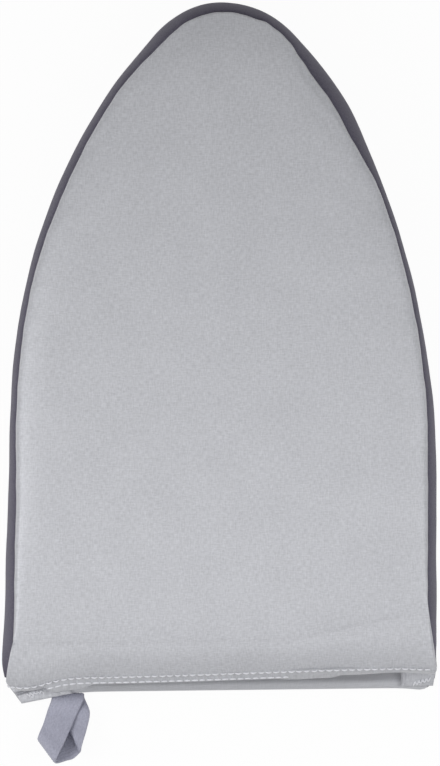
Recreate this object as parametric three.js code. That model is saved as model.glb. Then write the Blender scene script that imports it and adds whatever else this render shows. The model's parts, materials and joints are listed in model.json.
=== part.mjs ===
// Ironing mitt: a padded, iron-shaped mitt that is worn on one hand behind a garment while it is pressed or steamed.
// It lies on its back panel with the padded face up. Millimetres, +Z up, +Y towards the tip, +X to the right.
// The origin is on the resting face, midway between the mouth and the tip.
import * as THREE from "three";

// Outline of the mitt seen from above
const BODY_WIDTH = 160;
const BODY_LENGTH = 255;
const TIP_RADIUS = 34;
const SIDE_RADIUS = 240;
const CORNER_RADIUS = 8;

// Cloth, foam and the gaps between the layers
const COVER_CLOTH = 1;
const GUSSET_CLOTH = 1;
const BACK_CLOTH = 1;
const BACK_BEVEL = 0.3;
const LINING_CLOTH = 0.8;
const FOAM_THICKNESS = 12;
const FOAM_CROWN = 2.5;
const CLEARANCE = 0.3;
const PAD_EASE = 0.4;

// Front seam, where the cover meets the gusset
const SEAM_INSET = 2.8;
const SEAM_ABOVE_FOAM_BASE = 8;

// Rounded edge of the pad: how far in from the outline it starts at the sides, the tip and the mouth
const SIDE_SHOULDER = 6;
const TIP_SHOULDER = 18;
const MOUTH_SHOULDER = 13;

// Hand pocket: its height, the sewn-down corners of its mouth and the set-back hem of the cover
const POCKET_HEIGHT = 18;
const LEFT_CLOSURE = 30;
const RIGHT_CLOSURE = 14;
const MOUTH_RISE = 16;
const MOUTH_SETBACK = 3.2;
const HEM_WIDTH = 3.5;
const HEM_DROP = 2.8;
const CORNER_INSET = 0.8;
const CORNER_DRAW = 14;
const LIP_EDGE = 0.4;

// Gusset, which runs out to a toe at each mouth corner
const GUSSET_RISE = 16;
const GUSSET_TOE = 2.5;

// Webbing loop, sewn in between the back and its lining at the left of the mouth
const LOOP_FROM_LEFT = 23.7;
const LOOP_WIDTH = 12;
const LOOP_WEBBING = 1.1;
const LOOP_ROOT_GAP = 0.8;
const LOOP_LENGTH = 20;
const LOOP_BEND_RADIUS = 6;
const LOOP_TWIST = THREE.MathUtils.degToRad(24);
const LOOP_LEAN = 0.32;
const LOOP_SKEW = 0.17;
const LOOP_ENDS_LENGTH = 9;

// Steps along the outline, round the webbing and up the walls
const MOUTH_STEPS = 28;
const CORNER_STEPS = 3;
const TOE_STEPS = 6;
const SIDE_STEPS = 3;
const ARC_STEPS = 9;
const TIP_STEPS = 8;
const CROWN_STEPS = 3;
const SHOULDER_STEPS = 4;
const WALL_STEPS = 5;
const LOOP_STEPS = 48;

// Places in plan, worked out from the sizes above
const halfWidth = BODY_WIDTH / 2;
const tipY = BODY_LENGTH / 2;
const mouthY = -BODY_LENGTH / 2;
const tipCentreY = tipY - TIP_RADIUS;
const sideCentreX = halfWidth - SIDE_RADIUS;
const sideY = tipCentreY - Math.sqrt((SIDE_RADIUS - TIP_RADIUS) ** 2 - sideCentreX ** 2);
const tangentAngle = Math.atan2(tipCentreY - sideY, -sideCentreX);
const cornerX = halfWidth - CORNER_RADIUS;
const cornerY = mouthY + CORNER_RADIUS;
const seamY = cornerY + GUSSET_RISE;
const mouthLeft = -halfWidth + LEFT_CLOSURE;
const mouthRight = halfWidth - RIGHT_CLOSURE;

// Heights, from the resting face up
const backLiningBottom = BACK_CLOTH + CLEARANCE;
const backLiningTop = backLiningBottom + LINING_CLOTH;
const gussetBottom = backLiningTop + CLEARANCE;
const padLiningBottom = backLiningTop + POCKET_HEIGHT;
const padLiningTop = padLiningBottom + LINING_CLOTH;
const foamBottom = padLiningTop + CLEARANCE;
const coverSkin = COVER_CLOTH + CLEARANCE + PAD_EASE;
const coverTop = foamBottom + FOAM_THICKNESS + coverSkin;
const frontSeamZ = foamBottom + SEAM_ABOVE_FOAM_BASE;
const seamGussetHeight = frontSeamZ - CLEARANCE - gussetBottom;

// Root of the webbing loop, on the axis about which it swings
const loopX = -halfWidth + LOOP_FROM_LEFT;
const loopRootRadius = (LOOP_WEBBING + LOOP_ROOT_GAP) / 2;
const loopKnuckle = loopRootRadius + LOOP_WEBBING / 2;
const loopStack = 2 * loopKnuckle;
const loopRootY = mouthY - CLEARANCE - loopKnuckle;
const loopRootZ = backLiningBottom + loopKnuckle;

const lerp = THREE.MathUtils.lerp;
const smooth = (t) => THREE.MathUtils.smoothstep(t, 0, 1);

// Points round the outline, counter-clockwise from the left end of the mouth, each with its outward normal.
function outlineStations() {
  const point = (x, y) => new THREE.Vector2(x, y);
  const arc = (x, y, radius, from, to) => new THREE.EllipseCurve(x, y, radius, radius, from, to, false);
  const quarter = Math.PI / 2;
  const stretches = [
    ["mouth", MOUTH_STEPS, new THREE.LineCurve(point(-cornerX, mouthY), point(cornerX, mouthY))],
    ["corner", CORNER_STEPS, arc(cornerX, cornerY, CORNER_RADIUS, -quarter, 0)],
    ["side", TOE_STEPS, new THREE.LineCurve(point(halfWidth, cornerY), point(halfWidth, seamY))],
    ["side", SIDE_STEPS, new THREE.LineCurve(point(halfWidth, seamY), point(halfWidth, sideY))],
    ["side", ARC_STEPS, arc(sideCentreX, sideY, SIDE_RADIUS, 0, tangentAngle)],
    ["side", TIP_STEPS, arc(0, tipCentreY, TIP_RADIUS, tangentAngle, Math.PI - tangentAngle)],
    ["side", ARC_STEPS, arc(-sideCentreX, sideY, SIDE_RADIUS, Math.PI - tangentAngle, Math.PI)],
    ["side", SIDE_STEPS, new THREE.LineCurve(point(-halfWidth, sideY), point(-halfWidth, seamY))],
    ["side", TOE_STEPS, new THREE.LineCurve(point(-halfWidth, seamY), point(-halfWidth, cornerY))],
    ["corner", CORNER_STEPS, arc(-cornerX, cornerY, CORNER_RADIUS, Math.PI, 3 * quarter)],
  ];
  return stretches.flatMap(([zone, steps, curve]) =>
    Array.from({ length: steps }, (_, i) => {
      const at = curve.getPoint(i / steps);
      const along = curve.getTangent(i / steps);
      return { zone, x: at.x, y: at.y, normal: new THREE.Vector2(along.y, -along.x) };
    }),
  );
}

const stations = outlineStations();
const mouthPitch = (2 * cornerX) / MOUTH_STEPS;

// A point at a station, set in from the outline.
function inward(station, inset, z) {
  return new THREE.Vector3(station.x - station.normal.x * inset, station.y - station.normal.y * inset, z);
}

// A point between the origin and a station.
function scaled(station, share, z) {
  return new THREE.Vector3(station.x * share, station.y * share, z);
}

// A point on the flat of the pad, as a share of the way from the origin to the start of the rounded edge at a station.
function onFace(station, share, z) {
  const lengthwise = station.y > 0 ? TIP_SHOULDER : MOUTH_SHOULDER;
  const x = station.x * (1 - SIDE_SHOULDER / halfWidth);
  const y = station.y * (1 - lengthwise / tipY);
  return new THREE.Vector3(share * x, share * y, z);
}

// How near a station is to a corner of the mouth: 1 on the corner, 0 well along the mouth or up the side.
function cornerShare(station) {
  if (station.zone === "corner") return 1;
  if (station.zone === "side") return 1 - smooth((station.y - cornerY) / GUSSET_RISE);
  return 1 - smooth((cornerX - Math.abs(station.x)) / CORNER_DRAW);
}

// How far the cover's rim is sewn down to the back: 1 beside the mouth, 0 where the mouth or the gusset is open.
function sewnDown(station) {
  if (station.zone !== "mouth") return cornerShare(station);
  return 1 - smooth((station.x - mouthLeft) / MOUTH_RISE) * smooth((mouthRight - station.x) / MOUTH_RISE);
}

// How far the back lining, and what lies on it, steps up over the ends of the webbing.
function webbingStep(station) {
  if (station.zone !== "mouth") return 0;
  const off = Math.abs(station.x - loopX) - LOOP_WIDTH / 2 - mouthPitch;
  return (1 - smooth(off / mouthPitch)) * (loopStack + CLEARANCE);
}

// Lower edge of the cover: its inset and height.
function coverRim(station) {
  const mouth = station.zone === "mouth";
  return {
    inset: lerp(mouth ? MOUTH_SETBACK : SEAM_INSET, CORNER_INSET, cornerShare(station)),
    z: lerp(mouth ? padLiningBottom : frontSeamZ, gussetBottom + webbingStep(station), sewnDown(station)),
  };
}

// Where the rounded shoulder of the cover ends and its hem or skirt begins.
function coverShoulder(station) {
  const mouth = station.zone === "mouth" ? 1 - cornerShare(station) : 0;
  return {
    inset: lerp(SEAM_INSET + CLEARANCE, MOUTH_SETBACK + HEM_WIDTH, mouth),
    z: lerp(frontSeamZ + COVER_CLOTH, padLiningBottom + HEM_DROP, mouth),
  };
}

// Inset of the outer cloth at a height: the cover's skirt above its rim, the bulging gusset below it.
function wallInset(station, z) {
  const rim = coverRim(station);
  const shoulder = coverShoulder(station);
  if (z >= rim.z) {
    const up = Math.min(1, (z - rim.z) / (shoulder.z - rim.z));
    return lerp(rim.inset, shoulder.inset, up);
  }
  const height = rim.z - CLEARANCE - gussetBottom;
  const up = THREE.MathUtils.clamp((z - gussetBottom) / height, 0, 1);
  const bulge = SEAM_INSET * (height / seamGussetHeight) * 4 * up * (1 - up);
  return lerp(SEAM_INSET, rim.inset, up) - bulge;
}

// Inset of the edge of the pad, which fills the outer cloth and stops short of the hem along the mouth.
function padEdge(station, z) {
  const wall = station.zone === "mouth" ? coverShoulder(station).inset : wallInset(station, z);
  return wall + coverSkin;
}

// Crowned face and rounded shoulder of the pad at a station, offset inwards by a skin.
function padSurface(station, skin) {
  const shoulder = coverShoulder(station);
  const edge = coverTop - skin;
  const crown = Array.from({ length: CROWN_STEPS - 1 }, (_, i) => {
    const share = (i + 1) / CROWN_STEPS;
    return onFace(station, share, edge + FOAM_CROWN * (1 - share ** 2));
  });
  const start = onFace(station, 1, edge);
  const end = inward(station, shoulder.inset + skin, shoulder.z);
  const round = Array.from({ length: SHOULDER_STEPS + 1 }, (_, i) => {
    const turn = (i / SHOULDER_STEPS) * (Math.PI / 2);
    const at = start.clone().lerp(end, Math.sin(turn));
    return at.setZ(lerp(end.z, start.z, Math.cos(turn)));
  });
  return [...crown, ...round];
}

// A closed solid from one profile per station, each running from above the origin outwards and back below it.
function loftAround(profiles, topZ, bottomZ) {
  const count = profiles.length;
  const rings = profiles[0].length;
  const points = [new THREE.Vector3(0, 0, topZ), ...profiles.flat(), new THREE.Vector3(0, 0, bottomZ)];
  const at = (station, ring) => 1 + (station % count) * rings + ring;
  const faces = [];
  for (let i = 0; i < count; i += 1) {
    faces.push(0, at(i, 0), at(i + 1, 0));
    for (let j = 0; j < rings - 1; j += 1) {
      faces.push(at(i, j), at(i, j + 1), at(i + 1, j + 1), at(i, j), at(i + 1, j + 1), at(i + 1, j));
    }
    faces.push(at(i, rings - 1), points.length - 1, at(i + 1, rings - 1));
  }
  return new THREE.BufferGeometry().setFromPoints(points).setIndex(faces);
}

// A closed solid from strip sections, each an outer edge and an inner edge of as many points.
// The strip is open and capped, or runs round on itself.
function loftStrip(sections, ring) {
  const edge = sections[0].outer.length;
  const round = 2 * edge;
  const points = sections.flatMap(({ outer, inner }) => [...outer, ...[...inner].reverse()]);
  const at = (section, point) => (section % sections.length) * round + (point % round);
  const faces = [];
  for (let i = 0; i < sections.length - (ring ? 0 : 1); i += 1) {
    for (let j = 0; j < round; j += 1) {
      faces.push(at(i, j), at(i + 1, j), at(i + 1, j + 1), at(i, j), at(i + 1, j + 1), at(i, j + 1));
    }
  }
  const last = sections.length - 1;
  for (let j = 0; !ring && j < edge - 1; j += 1) {
    const [a, b, c, d] = [j, j + 1, round - 2 - j, round - 1 - j];
    faces.push(at(0, a), at(0, b), at(0, c), at(0, a), at(0, c), at(0, d));
    faces.push(at(last, a), at(last, c), at(last, b), at(last, a), at(last, d), at(last, c));
  }
  return new THREE.BufferGeometry().setFromPoints(points).setIndex(faces);
}

// Flat layer of the back or the lining, with its edge at an inset per station.
function layer(insetAt, bottomZ, topZ) {
  const profiles = stations.map((station) => [
    inward(station, insetAt(station), topZ),
    inward(station, insetAt(station), bottomZ),
  ]);
  return loftAround(profiles, topZ, bottomZ);
}

// Cloth band inside the outline, from the back up to a height per station.
function wallBand(skin, cloth, topAt) {
  const sections = stations
    .filter((station) => station.zone === "side" && station.y - cornerY >= GUSSET_TOE)
    .map((station) => {
      const rise = (i) => lerp(gussetBottom, topAt(station), i / WALL_STEPS);
      const edge = (inset) =>
        Array.from({ length: WALL_STEPS + 1 }, (_, i) =>
          inward(station, wallInset(station, rise(i)) + inset, rise(i)));
      return { outer: edge(skin), inner: edge(skin + cloth) };
    });
  return loftStrip(sections, false);
}

function faceCover() {
  const side = (station, skin) => {
    const rim = coverRim(station);
    return [...padSurface(station, skin), inward(station, rim.inset + skin, rim.z)];
  };
  const profiles = stations.map((station) => [...side(station, 0), ...side(station, COVER_CLOTH).reverse()]);
  return loftAround(profiles, coverTop + FOAM_CROWN, coverTop + FOAM_CROWN - COVER_CLOTH);
}

function foamPad() {
  const profiles = stations.map((station) => {
    const middle = (coverShoulder(station).z + foamBottom) / 2;
    const wall = [middle, foamBottom].map((z) => inward(station, padEdge(station, z), z));
    return [...padSurface(station, coverSkin), ...wall];
  });
  return loftAround(profiles, coverTop + FOAM_CROWN - coverSkin, foamBottom);
}

const padLining = () => layer((station) => padEdge(station, padLiningBottom), padLiningBottom, padLiningTop);

const sideGusset = () => wallBand(0, GUSSET_CLOTH, (station) => coverRim(station).z - CLEARANCE);

function gussetLining() {
  const top = (station) => Math.min(coverRim(station).z, padLiningBottom) - CLEARANCE;
  return wallBand(GUSSET_CLOTH + CLEARANCE, LINING_CLOTH, top);
}

// Edge of the back: out to the lip at the mouth, in under the gusset on the sides.
function backEdge(station) {
  return lerp(station.zone === "mouth" ? 0 : SEAM_INSET - LIP_EDGE, CORNER_INSET, cornerShare(station));
}

function backPanel() {
  const profiles = stations.map((station) => [
    inward(station, backEdge(station), BACK_CLOTH),
    inward(station, backEdge(station), BACK_BEVEL),
    inward(station, backEdge(station) + BACK_BEVEL, 0),
  ]);
  return loftAround(profiles, BACK_CLOTH, 0);
}

// The lining lies on the back and steps up over the webbing, which it covers as far as the webbing reaches in.
function backLining() {
  const webbing = 1 - (LOOP_ENDS_LENGTH + LIP_EDGE) / -mouthY;
  const clear = webbing - loopStack / -mouthY;
  const profiles = stations.map((station) => {
    const edge = backEdge(station) + LIP_EDGE;
    const step = webbingStep(station);
    const side = (z) => [scaled(station, clear, z), scaled(station, webbing, z + step), inward(station, edge, z + step)];
    return [...side(backLiningTop), ...side(backLiningBottom).reverse()];
  });
  return loftAround(profiles, backLiningTop, backLiningBottom);
}

// The two ends of the webbing, pressed together in the seam of the lip.
function loopEnds() {
  const half = LOOP_WIDTH / 2;
  const round = LOOP_WEBBING / 2;
  const shape = new THREE.Shape();
  shape.absarc(half - round, loopKnuckle - round, round, 0, Math.PI / 2, false);
  shape.absarc(round - half, loopKnuckle - round, round, Math.PI / 2, Math.PI, false);
  shape.absarc(round - half, round - loopKnuckle, round, Math.PI, 1.5 * Math.PI, false);
  shape.absarc(half - round, round - loopKnuckle, round, 1.5 * Math.PI, 2 * Math.PI, false);
  return new THREE.ExtrudeGeometry(shape, { depth: LOOP_ENDS_LENGTH, bevelEnabled: false, curveSegments: 2 });
}

// Course of the webbing seen edge on: round the root, out along one strand, round the bend and back.
// The first coordinate runs away from the hem and the second across the loop, up from the table.
function loopCourse() {
  const reach = LOOP_LENGTH - LOOP_BEND_RADIUS - LOOP_WEBBING / 2;
  const flare = Math.asin((LOOP_BEND_RADIUS - loopRootRadius) / reach);
  const up = Math.PI / 2 + flare;
  const root = new THREE.EllipseCurve(0, 0, loopRootRadius, loopRootRadius, 2 * Math.PI - up, up, true);
  const bend = new THREE.EllipseCurve(reach, 0, LOOP_BEND_RADIUS, LOOP_BEND_RADIUS, up, -up, true);
  const course = new THREE.CurvePath();
  course.add(root);
  course.add(new THREE.LineCurve(root.getPoint(1), bend.getPoint(0)));
  course.add(bend);
  course.add(new THREE.LineCurve(bend.getPoint(1), root.getPoint(0)));
  return { course, reach };
}

// The free webbing: it leans to the left, turns its right edge up and rests its bend on the table.
function hangingLoop() {
  const { course, reach } = loopCourse();
  const half = LOOP_WIDTH / 2;
  const bendZ = LOOP_BEND_RADIUS + LOOP_WEBBING / 2 + half * Math.sin(LOOP_TWIST) + CLEARANCE;
  const place = (at, width) => {
    const out = Math.max(0, at.x) / reach;
    const twist = LOOP_TWIST * out;
    return new THREE.Vector3(
      loopX + width * Math.cos(twist) - at.y * Math.sin(twist) - LOOP_LEAN * reach * out,
      loopRootY - at.x * (1 + (LOOP_SKEW * width * smooth(out)) / half),
      loopRootZ + width * Math.sin(twist) + at.y * Math.cos(twist) + (bendZ - loopRootZ) * out,
    );
  };
  const sections = Array.from({ length: LOOP_STEPS }, (_, i) => {
    const at = course.getPointAt(i / LOOP_STEPS);
    const along = course.getTangentAt(i / LOOP_STEPS);
    const edge = (side) => {
      const layerAt = new THREE.Vector2(-along.y, along.x).multiplyScalar((side * LOOP_WEBBING) / 2).add(at);
      return [-half, 0, half].map((width) => place(layerAt, width));
    };
    return { outer: edge(1), inner: edge(-1) };
  });
  return loftStrip(sections, true);
}

function cloth(color, roughness) {
  return new THREE.MeshStandardMaterial({ color, roughness, metalness: 0, side: THREE.DoubleSide });
}

function piece(name, geometry, material) {
  const mesh = new THREE.Mesh(geometry, material);
  mesh.name = name;
  return mesh;
}

const mitt = new THREE.Group();
mitt.add(
  piece("face_cover", faceCover(), cloth("#bcbec3", 0.55)),
  piece("foam_pad", foamPad(), cloth("#e9e4d2", 0.95)),
  piece("pad_lining", padLining(), cloth("#a8a9ae", 0.5)),
  piece("side_gusset", sideGusset(), cloth("#62606a", 0.75)),
  piece("gusset_lining", gussetLining(), cloth("#a8a9ae", 0.5)),
  piece("back_panel", backPanel(), cloth("#62606a", 0.75)),
  piece("back_lining", backLining(), cloth("#a8a9ae", 0.5)),
  piece("hanging_loop", hangingLoop(), cloth("#9d9fab", 0.7)),
);

const ends = piece("loop_ends", loopEnds(), cloth("#9d9fab", 0.7));
ends.position.set(loopX, mouthY + LOOP_ENDS_LENGTH, loopRootZ);
ends.rotation.x = Math.PI / 2;
mitt.add(ends);

export default mitt;
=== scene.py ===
"""Ironing mitt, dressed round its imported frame.

A silver pressing face is stretched over foam, with a dark gusset and back, a lined hand pocket, folded hems
with their stitch rows and a webbing hanging loop. Lengths are millimetres in the frame's axes, +Z up and +Y
towards the tip, and become metres where a mesh is made. Every layer is first drawn even on both sides, and
HandSewn then moves them alike.
"""

import json
import logging
import math
from dataclasses import dataclass, field, replace
from enum import Enum
from typing import Any

import bpy
import numpy as np
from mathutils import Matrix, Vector
from mathutils.bvhtree import BVHTree
from numpy.typing import NDArray


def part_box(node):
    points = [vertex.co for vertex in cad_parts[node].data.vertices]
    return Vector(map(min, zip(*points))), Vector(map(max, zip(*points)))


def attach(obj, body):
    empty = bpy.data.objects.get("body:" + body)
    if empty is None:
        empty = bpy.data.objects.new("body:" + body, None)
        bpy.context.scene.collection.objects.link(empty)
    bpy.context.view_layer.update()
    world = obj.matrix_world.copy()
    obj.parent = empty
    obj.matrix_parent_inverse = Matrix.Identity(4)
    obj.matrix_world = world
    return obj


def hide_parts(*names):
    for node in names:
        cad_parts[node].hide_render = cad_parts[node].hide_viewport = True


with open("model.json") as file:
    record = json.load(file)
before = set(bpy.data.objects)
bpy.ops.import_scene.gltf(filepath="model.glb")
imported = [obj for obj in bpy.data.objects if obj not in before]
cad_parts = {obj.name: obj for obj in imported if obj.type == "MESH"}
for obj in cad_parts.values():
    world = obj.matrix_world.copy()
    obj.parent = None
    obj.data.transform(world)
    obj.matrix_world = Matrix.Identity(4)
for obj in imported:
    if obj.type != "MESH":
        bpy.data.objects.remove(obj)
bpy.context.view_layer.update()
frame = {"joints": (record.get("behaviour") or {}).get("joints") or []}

Array = NDArray[np.float64]
Faces = NDArray[np.int64]
Pair = tuple[float, float]
Point = tuple[float, float, float]
log = logging.getLogger("mitt")

MM = 0.001
TINY = 1e-9
UP = (0.0, 0.0, 1.0)
CLOTH_MAP = "cloth"
PHOTO_HEIGHT_PX = 766
COVER_SETBACK = 4.2
COVER_CORNER = 4.0
CROWN_POWER_ACROSS = 10
CROWN_POWER_ALONG = 4


class Body(Enum):
    """The frame's moving bodies."""

    MITT = "mitt"
    LOOP = "loop"


class Slot(Enum):
    """The record's material slots."""

    SILVER = "silver_cloth"
    FOAM = "foam"
    LINING = "lining_cloth"
    GREY = "grey_cloth"
    WEBBING = "webbing"


class Hold(Enum):
    """How a sheet of cloth is held."""

    STRETCHED = "stretched"
    LAID = "laid"


class Seed(Enum):
    """Seeds of the cloth's small unevenness."""

    SEAM_WAVE = 2
    GUSSET_PUCKER = 3
    GUSSET_SLACK = 5
    BACK_PUCKER = 7
    STITCH = 11
    TAB_WRINKLE = 13
    HEM_GATHER = 17


def smooth(t: Array) -> Array:
    """Smoothstep: 0 below 0, 1 above 1, and 3t^2 - 2t^3 between."""
    t = np.clip(t, 0.0, 1.0)
    return t * t * (3.0 - 2.0 * t)


def lerp(a: Any, b: Any, t: Any) -> Any:
    """The value a share t of the way from a to b."""
    return a + (b - a) * t


def eased(at: Array, knots: tuple[Pair, ...]) -> Array:
    """Values between listed knots, with a smoothstep from each knot to the next.

    Args:
        at: Places at which the values are wanted.
        knots: Pairs of place and value, in rising order of place.

    Returns:
        One value for each place, level beyond the end knots.
    """
    places, values = np.array(knots).T
    i = np.clip(np.searchsorted(places, at) - 1, 0, len(places) - 2)
    share = (at - places[i]) / (places[i + 1] - places[i])
    return lerp(values[i], values[i + 1], smooth(share))


def ripple(along: Array, lengths: tuple[float, ...], seed: Seed) -> Array:
    """Mean of sines of the given wavelengths, with seeded phases.

    Args:
        along: Distances along the cloth.
        lengths: Wavelengths in the same unit.
        seed: Seed of the phases.

    Returns:
        Values from -1 to 1.
    """
    phases = np.random.default_rng(seed.value).uniform(0.0, math.tau, len(lengths))
    waves = np.sin(math.tau * along[..., None] / np.array(lengths) + phases)
    return waves.mean(axis=-1)


def bell(distance: Array, reach: float) -> Array:
    """A bump of height 1 that falls off as exp(-(distance / reach)^2)."""
    return np.exp(-((distance / reach) ** 2))


def bell_2d(x: Array, y: Array, reach: float) -> Array:
    """A round bump of height 1 that falls off as exp(-(x^2 + y^2) / reach^2)."""
    return np.exp(-(x**2 + y**2) / reach**2)


@dataclass(frozen=True)
class Bulge:
    """A bell-shaped bump along one axis, in millimetres."""

    amount: float
    centre: float
    reach: float

    def at(self, place: Array) -> Array:
        """Height of the bump at places along the axis."""
        return self.amount * bell(place - self.centre, self.reach)


def linear(hex_colour: str) -> tuple[float, float, float, float]:
    """An sRGB hex colour as linear RGBA, by the curve that defines sRGB.

    Args:
        hex_colour: Colour such as "#bcbdc2".

    Returns:
        Red, green, blue and an alpha of 1.
    """
    srgb = np.array([int(hex_colour[i : i + 2], 16) for i in (1, 3, 5)]) / 255.0
    low = srgb / 12.92
    high = ((srgb + 0.055) / 1.055) ** 2.4
    red, green, blue = np.where(srgb <= 0.04045, low, high)
    return (float(red), float(green), float(blue), 1.0)


def box_mm(node: str) -> tuple[Array, Array]:
    """Lowest and highest corner of a frame node, in millimetres."""
    low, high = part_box(node)
    return np.array(low) / MM, np.array(high) / MM


@dataclass
class Surface:
    """A mesh before it is put into the scene.

    Attributes:
        points: One row of x, y, z for each vertex, in millimetres.
        quads: One row of four vertex numbers for each face.
        cloth: Place of each vertex on the flat cloth, in millimetres.
        caps: Faces of more than four vertices that close the ends of tubes.
    """

    points: Array
    quads: Faces
    cloth: Array
    caps: list[list[int]] = field(default_factory=list)

    def piece(self, name: str) -> bpy.types.Object:
        """Put the surface into the scene as a smooth-shaded mesh object at the origin.

        Args:
            name: Name of the piece.

        Returns:
            The new object, with the cloth coordinates in metres as its UV map.
        """
        mesh = bpy.data.meshes.new(name)
        mesh.from_pydata((self.points * MM).tolist(), [], self.quads.tolist() + self.caps)
        corners = np.zeros(len(mesh.loops), np.int32)
        mesh.loops.foreach_get("vertex_index", corners)
        layer = mesh.uv_layers.new(name=CLOTH_MAP)
        layer.data.foreach_set("uv", (self.cloth[corners] * MM).astype(np.float32).ravel())
        mesh.shade_smooth()
        mesh.validate()
        made = bpy.data.objects.new(name, mesh)
        bpy.context.scene.collection.objects.link(made)
        return made


def strip_quads(rows: int, columns: int, rows_close: bool = False, columns_close: bool = False) -> Faces:
    """Faces of a grid of points that is numbered row by row.

    Args:
        rows: Count of rows.
        columns: Count of columns.
        rows_close: Whether the last row joins the first.
        columns_close: Whether the last column joins the first.

    Returns:
        One row of four vertex numbers for each face.
    """
    lower = np.arange(rows - (not rows_close))
    left = np.arange(columns - (not columns_close))
    j, i = np.meshgrid(lower, left, indexing="ij")
    right, up = (i + 1) % columns, (j + 1) % rows
    corners = [j * columns + i, j * columns + right, up * columns + right, up * columns + i]
    return np.stack(corners, axis=-1).reshape(-1, 4)


def closed_curve(knots: Array, count: int) -> Array:
    """A smooth closed curve through a few knots, in any number of dimensions.

    Between two knots it is a cubic whose slopes at the knots are those of the parabola through each knot and
    its two neighbours, with the distance between knots as the measure.

    Args:
        knots: One row for each knot.
        count: How many points the curve gets.

    Returns:
        Points spaced evenly by that measure.
    """
    after = np.roll(knots, -1, axis=0) - knots
    gap = np.linalg.norm(after, axis=1)
    slope = after / gap[:, None]
    gap_before, slope_before = np.roll(gap, 1), np.roll(slope, 1, axis=0)
    bend = (slope * gap_before[:, None] + slope_before * gap[:, None]) / (gap + gap_before)[:, None]
    starts = np.concatenate([[0.0], np.cumsum(gap)])
    at = np.linspace(0.0, starts[-1], count, endpoint=False)
    i = np.searchsorted(starts, at, side="right") - 1
    j = (i + 1) % len(knots)
    t = ((at - starts[i]) / gap[i])[:, None]
    turn = smooth(t)
    lead = gap[i][:, None] * (t * (1.0 - t) ** 2 * bend[i] - t**2 * (1.0 - t) * bend[j])
    return lerp(knots[i], knots[j], turn) + lead


def coons(loop: Array, across: int, along: int) -> Array:
    """Grid of points inside a closed loop, which starts at its lower left corner and runs counter-clockwise.

    Each point is the blend of the bottom and top sides plus the blend of the left and right sides, less the
    blend of the four corners.

    Args:
        loop: The loop's 2 * (across + along) points.
        across: Cells along the bottom and the top.
        along: Cells up the sides.

    Returns:
        Points in (along + 1) rows and (across + 1) columns.
    """
    bottom = loop[: across + 1]
    right = loop[across : across + along + 1]
    top = loop[across + along : 2 * across + along + 1][::-1]
    left = np.concatenate([loop[2 * across + along :], loop[:1]])[::-1]
    u = np.linspace(0.0, 1.0, across + 1)[None, :, None]
    v = np.linspace(0.0, 1.0, along + 1)[:, None, None]
    upright = lerp(bottom[None], top[None], v)
    level = lerp(left[:, None], right[:, None], u)
    corners = lerp(lerp(bottom[0], bottom[-1], u), lerp(top[0], top[-1], u), v)
    return upright + level - corners


def filled(rings: Array, across: int, along: int, crown: float = 0.0) -> Surface:
    """A sheet made of rings round a grid: the rings follow the edge, and the grid fills the innermost ring.

    The grid's height is the innermost ring's plus crown * (1 - a^10)(1 - b^4), where a and b run from -1 to
    1, so that it is nearly flat in the middle and falls off towards its edges.

    Args:
        rings: Points of each ring, from the innermost out, in the order that coons takes.
        across: Cells across the grid.
        along: Cells along the grid.
        crown: Height of the middle over the innermost ring.

    Returns:
        The sheet, facing up where the rings spread outwards.
    """
    count = rings.shape[1]
    grid = coons(rings[0], across, along)
    a = np.linspace(-1.0, 1.0, across + 1)[None, :]
    b = np.linspace(-1.0, 1.0, along + 1)[:, None]
    grid[..., 2] += crown * (1.0 - a**CROWN_POWER_ACROSS) * (1.0 - b**CROWN_POWER_ALONG)
    inner = grid[1:-1, 1:-1].reshape(-1, 3)
    number = np.zeros((along + 1, across + 1), np.int64)
    number[1:-1, 1:-1] = len(rings) * count + np.arange(len(inner)).reshape(along - 1, across - 1)
    number[0, :] = np.arange(across + 1)
    number[:, -1] = across + np.arange(along + 1)
    number[-1, ::-1] = across + along + np.arange(across + 1)
    number[::-1, 0] = (2 * across + along + np.arange(along + 1)) % count
    corners = [number[:-1, :-1], number[:-1, 1:], number[1:, 1:], number[1:, :-1]]
    face = np.stack(corners, axis=-1).reshape(-1, 4)
    ring_quads = strip_quads(len(rings), count, columns_close=True)[:, [0, 3, 2, 1]]
    steps = np.linalg.norm(np.diff(rings, axis=0), axis=-1)
    spread = np.concatenate([np.zeros((1, count)), np.cumsum(steps, axis=0)])
    outward = rings[-1, :, :2] - rings[0, :, :2]
    outward /= np.maximum(np.linalg.norm(outward, axis=-1, keepdims=True), TINY)
    flat = rings[0, :, :2][None] + spread[..., None] * outward[None]
    return Surface(
        points=np.concatenate([rings.reshape(-1, 3), inner]),
        quads=np.concatenate([ring_quads, face]),
        cloth=np.concatenate([flat.reshape(-1, 2), inner[:, :2]]),
    )


@dataclass(frozen=True)
class Stations:
    """Points round the outline, each with its outward normal.

    Attributes:
        place: x and y of each point.
        normal: Outward normal of each point.
        run: Distance of each point along the outline from the tip.
        at_mouth: Whether the point is on the straight edge of the mouth.
    """

    place: Array
    normal: Array
    run: Array
    at_mouth: NDArray[np.bool_]

    def inward(self, inset: Any, z: Any) -> Array:
        """Points set in from the outline, at a height."""
        flat = self.place - self.normal * np.broadcast_to(inset, len(self.place))[:, None]
        return np.column_stack([flat, np.broadcast_to(z, len(self.place))])


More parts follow.
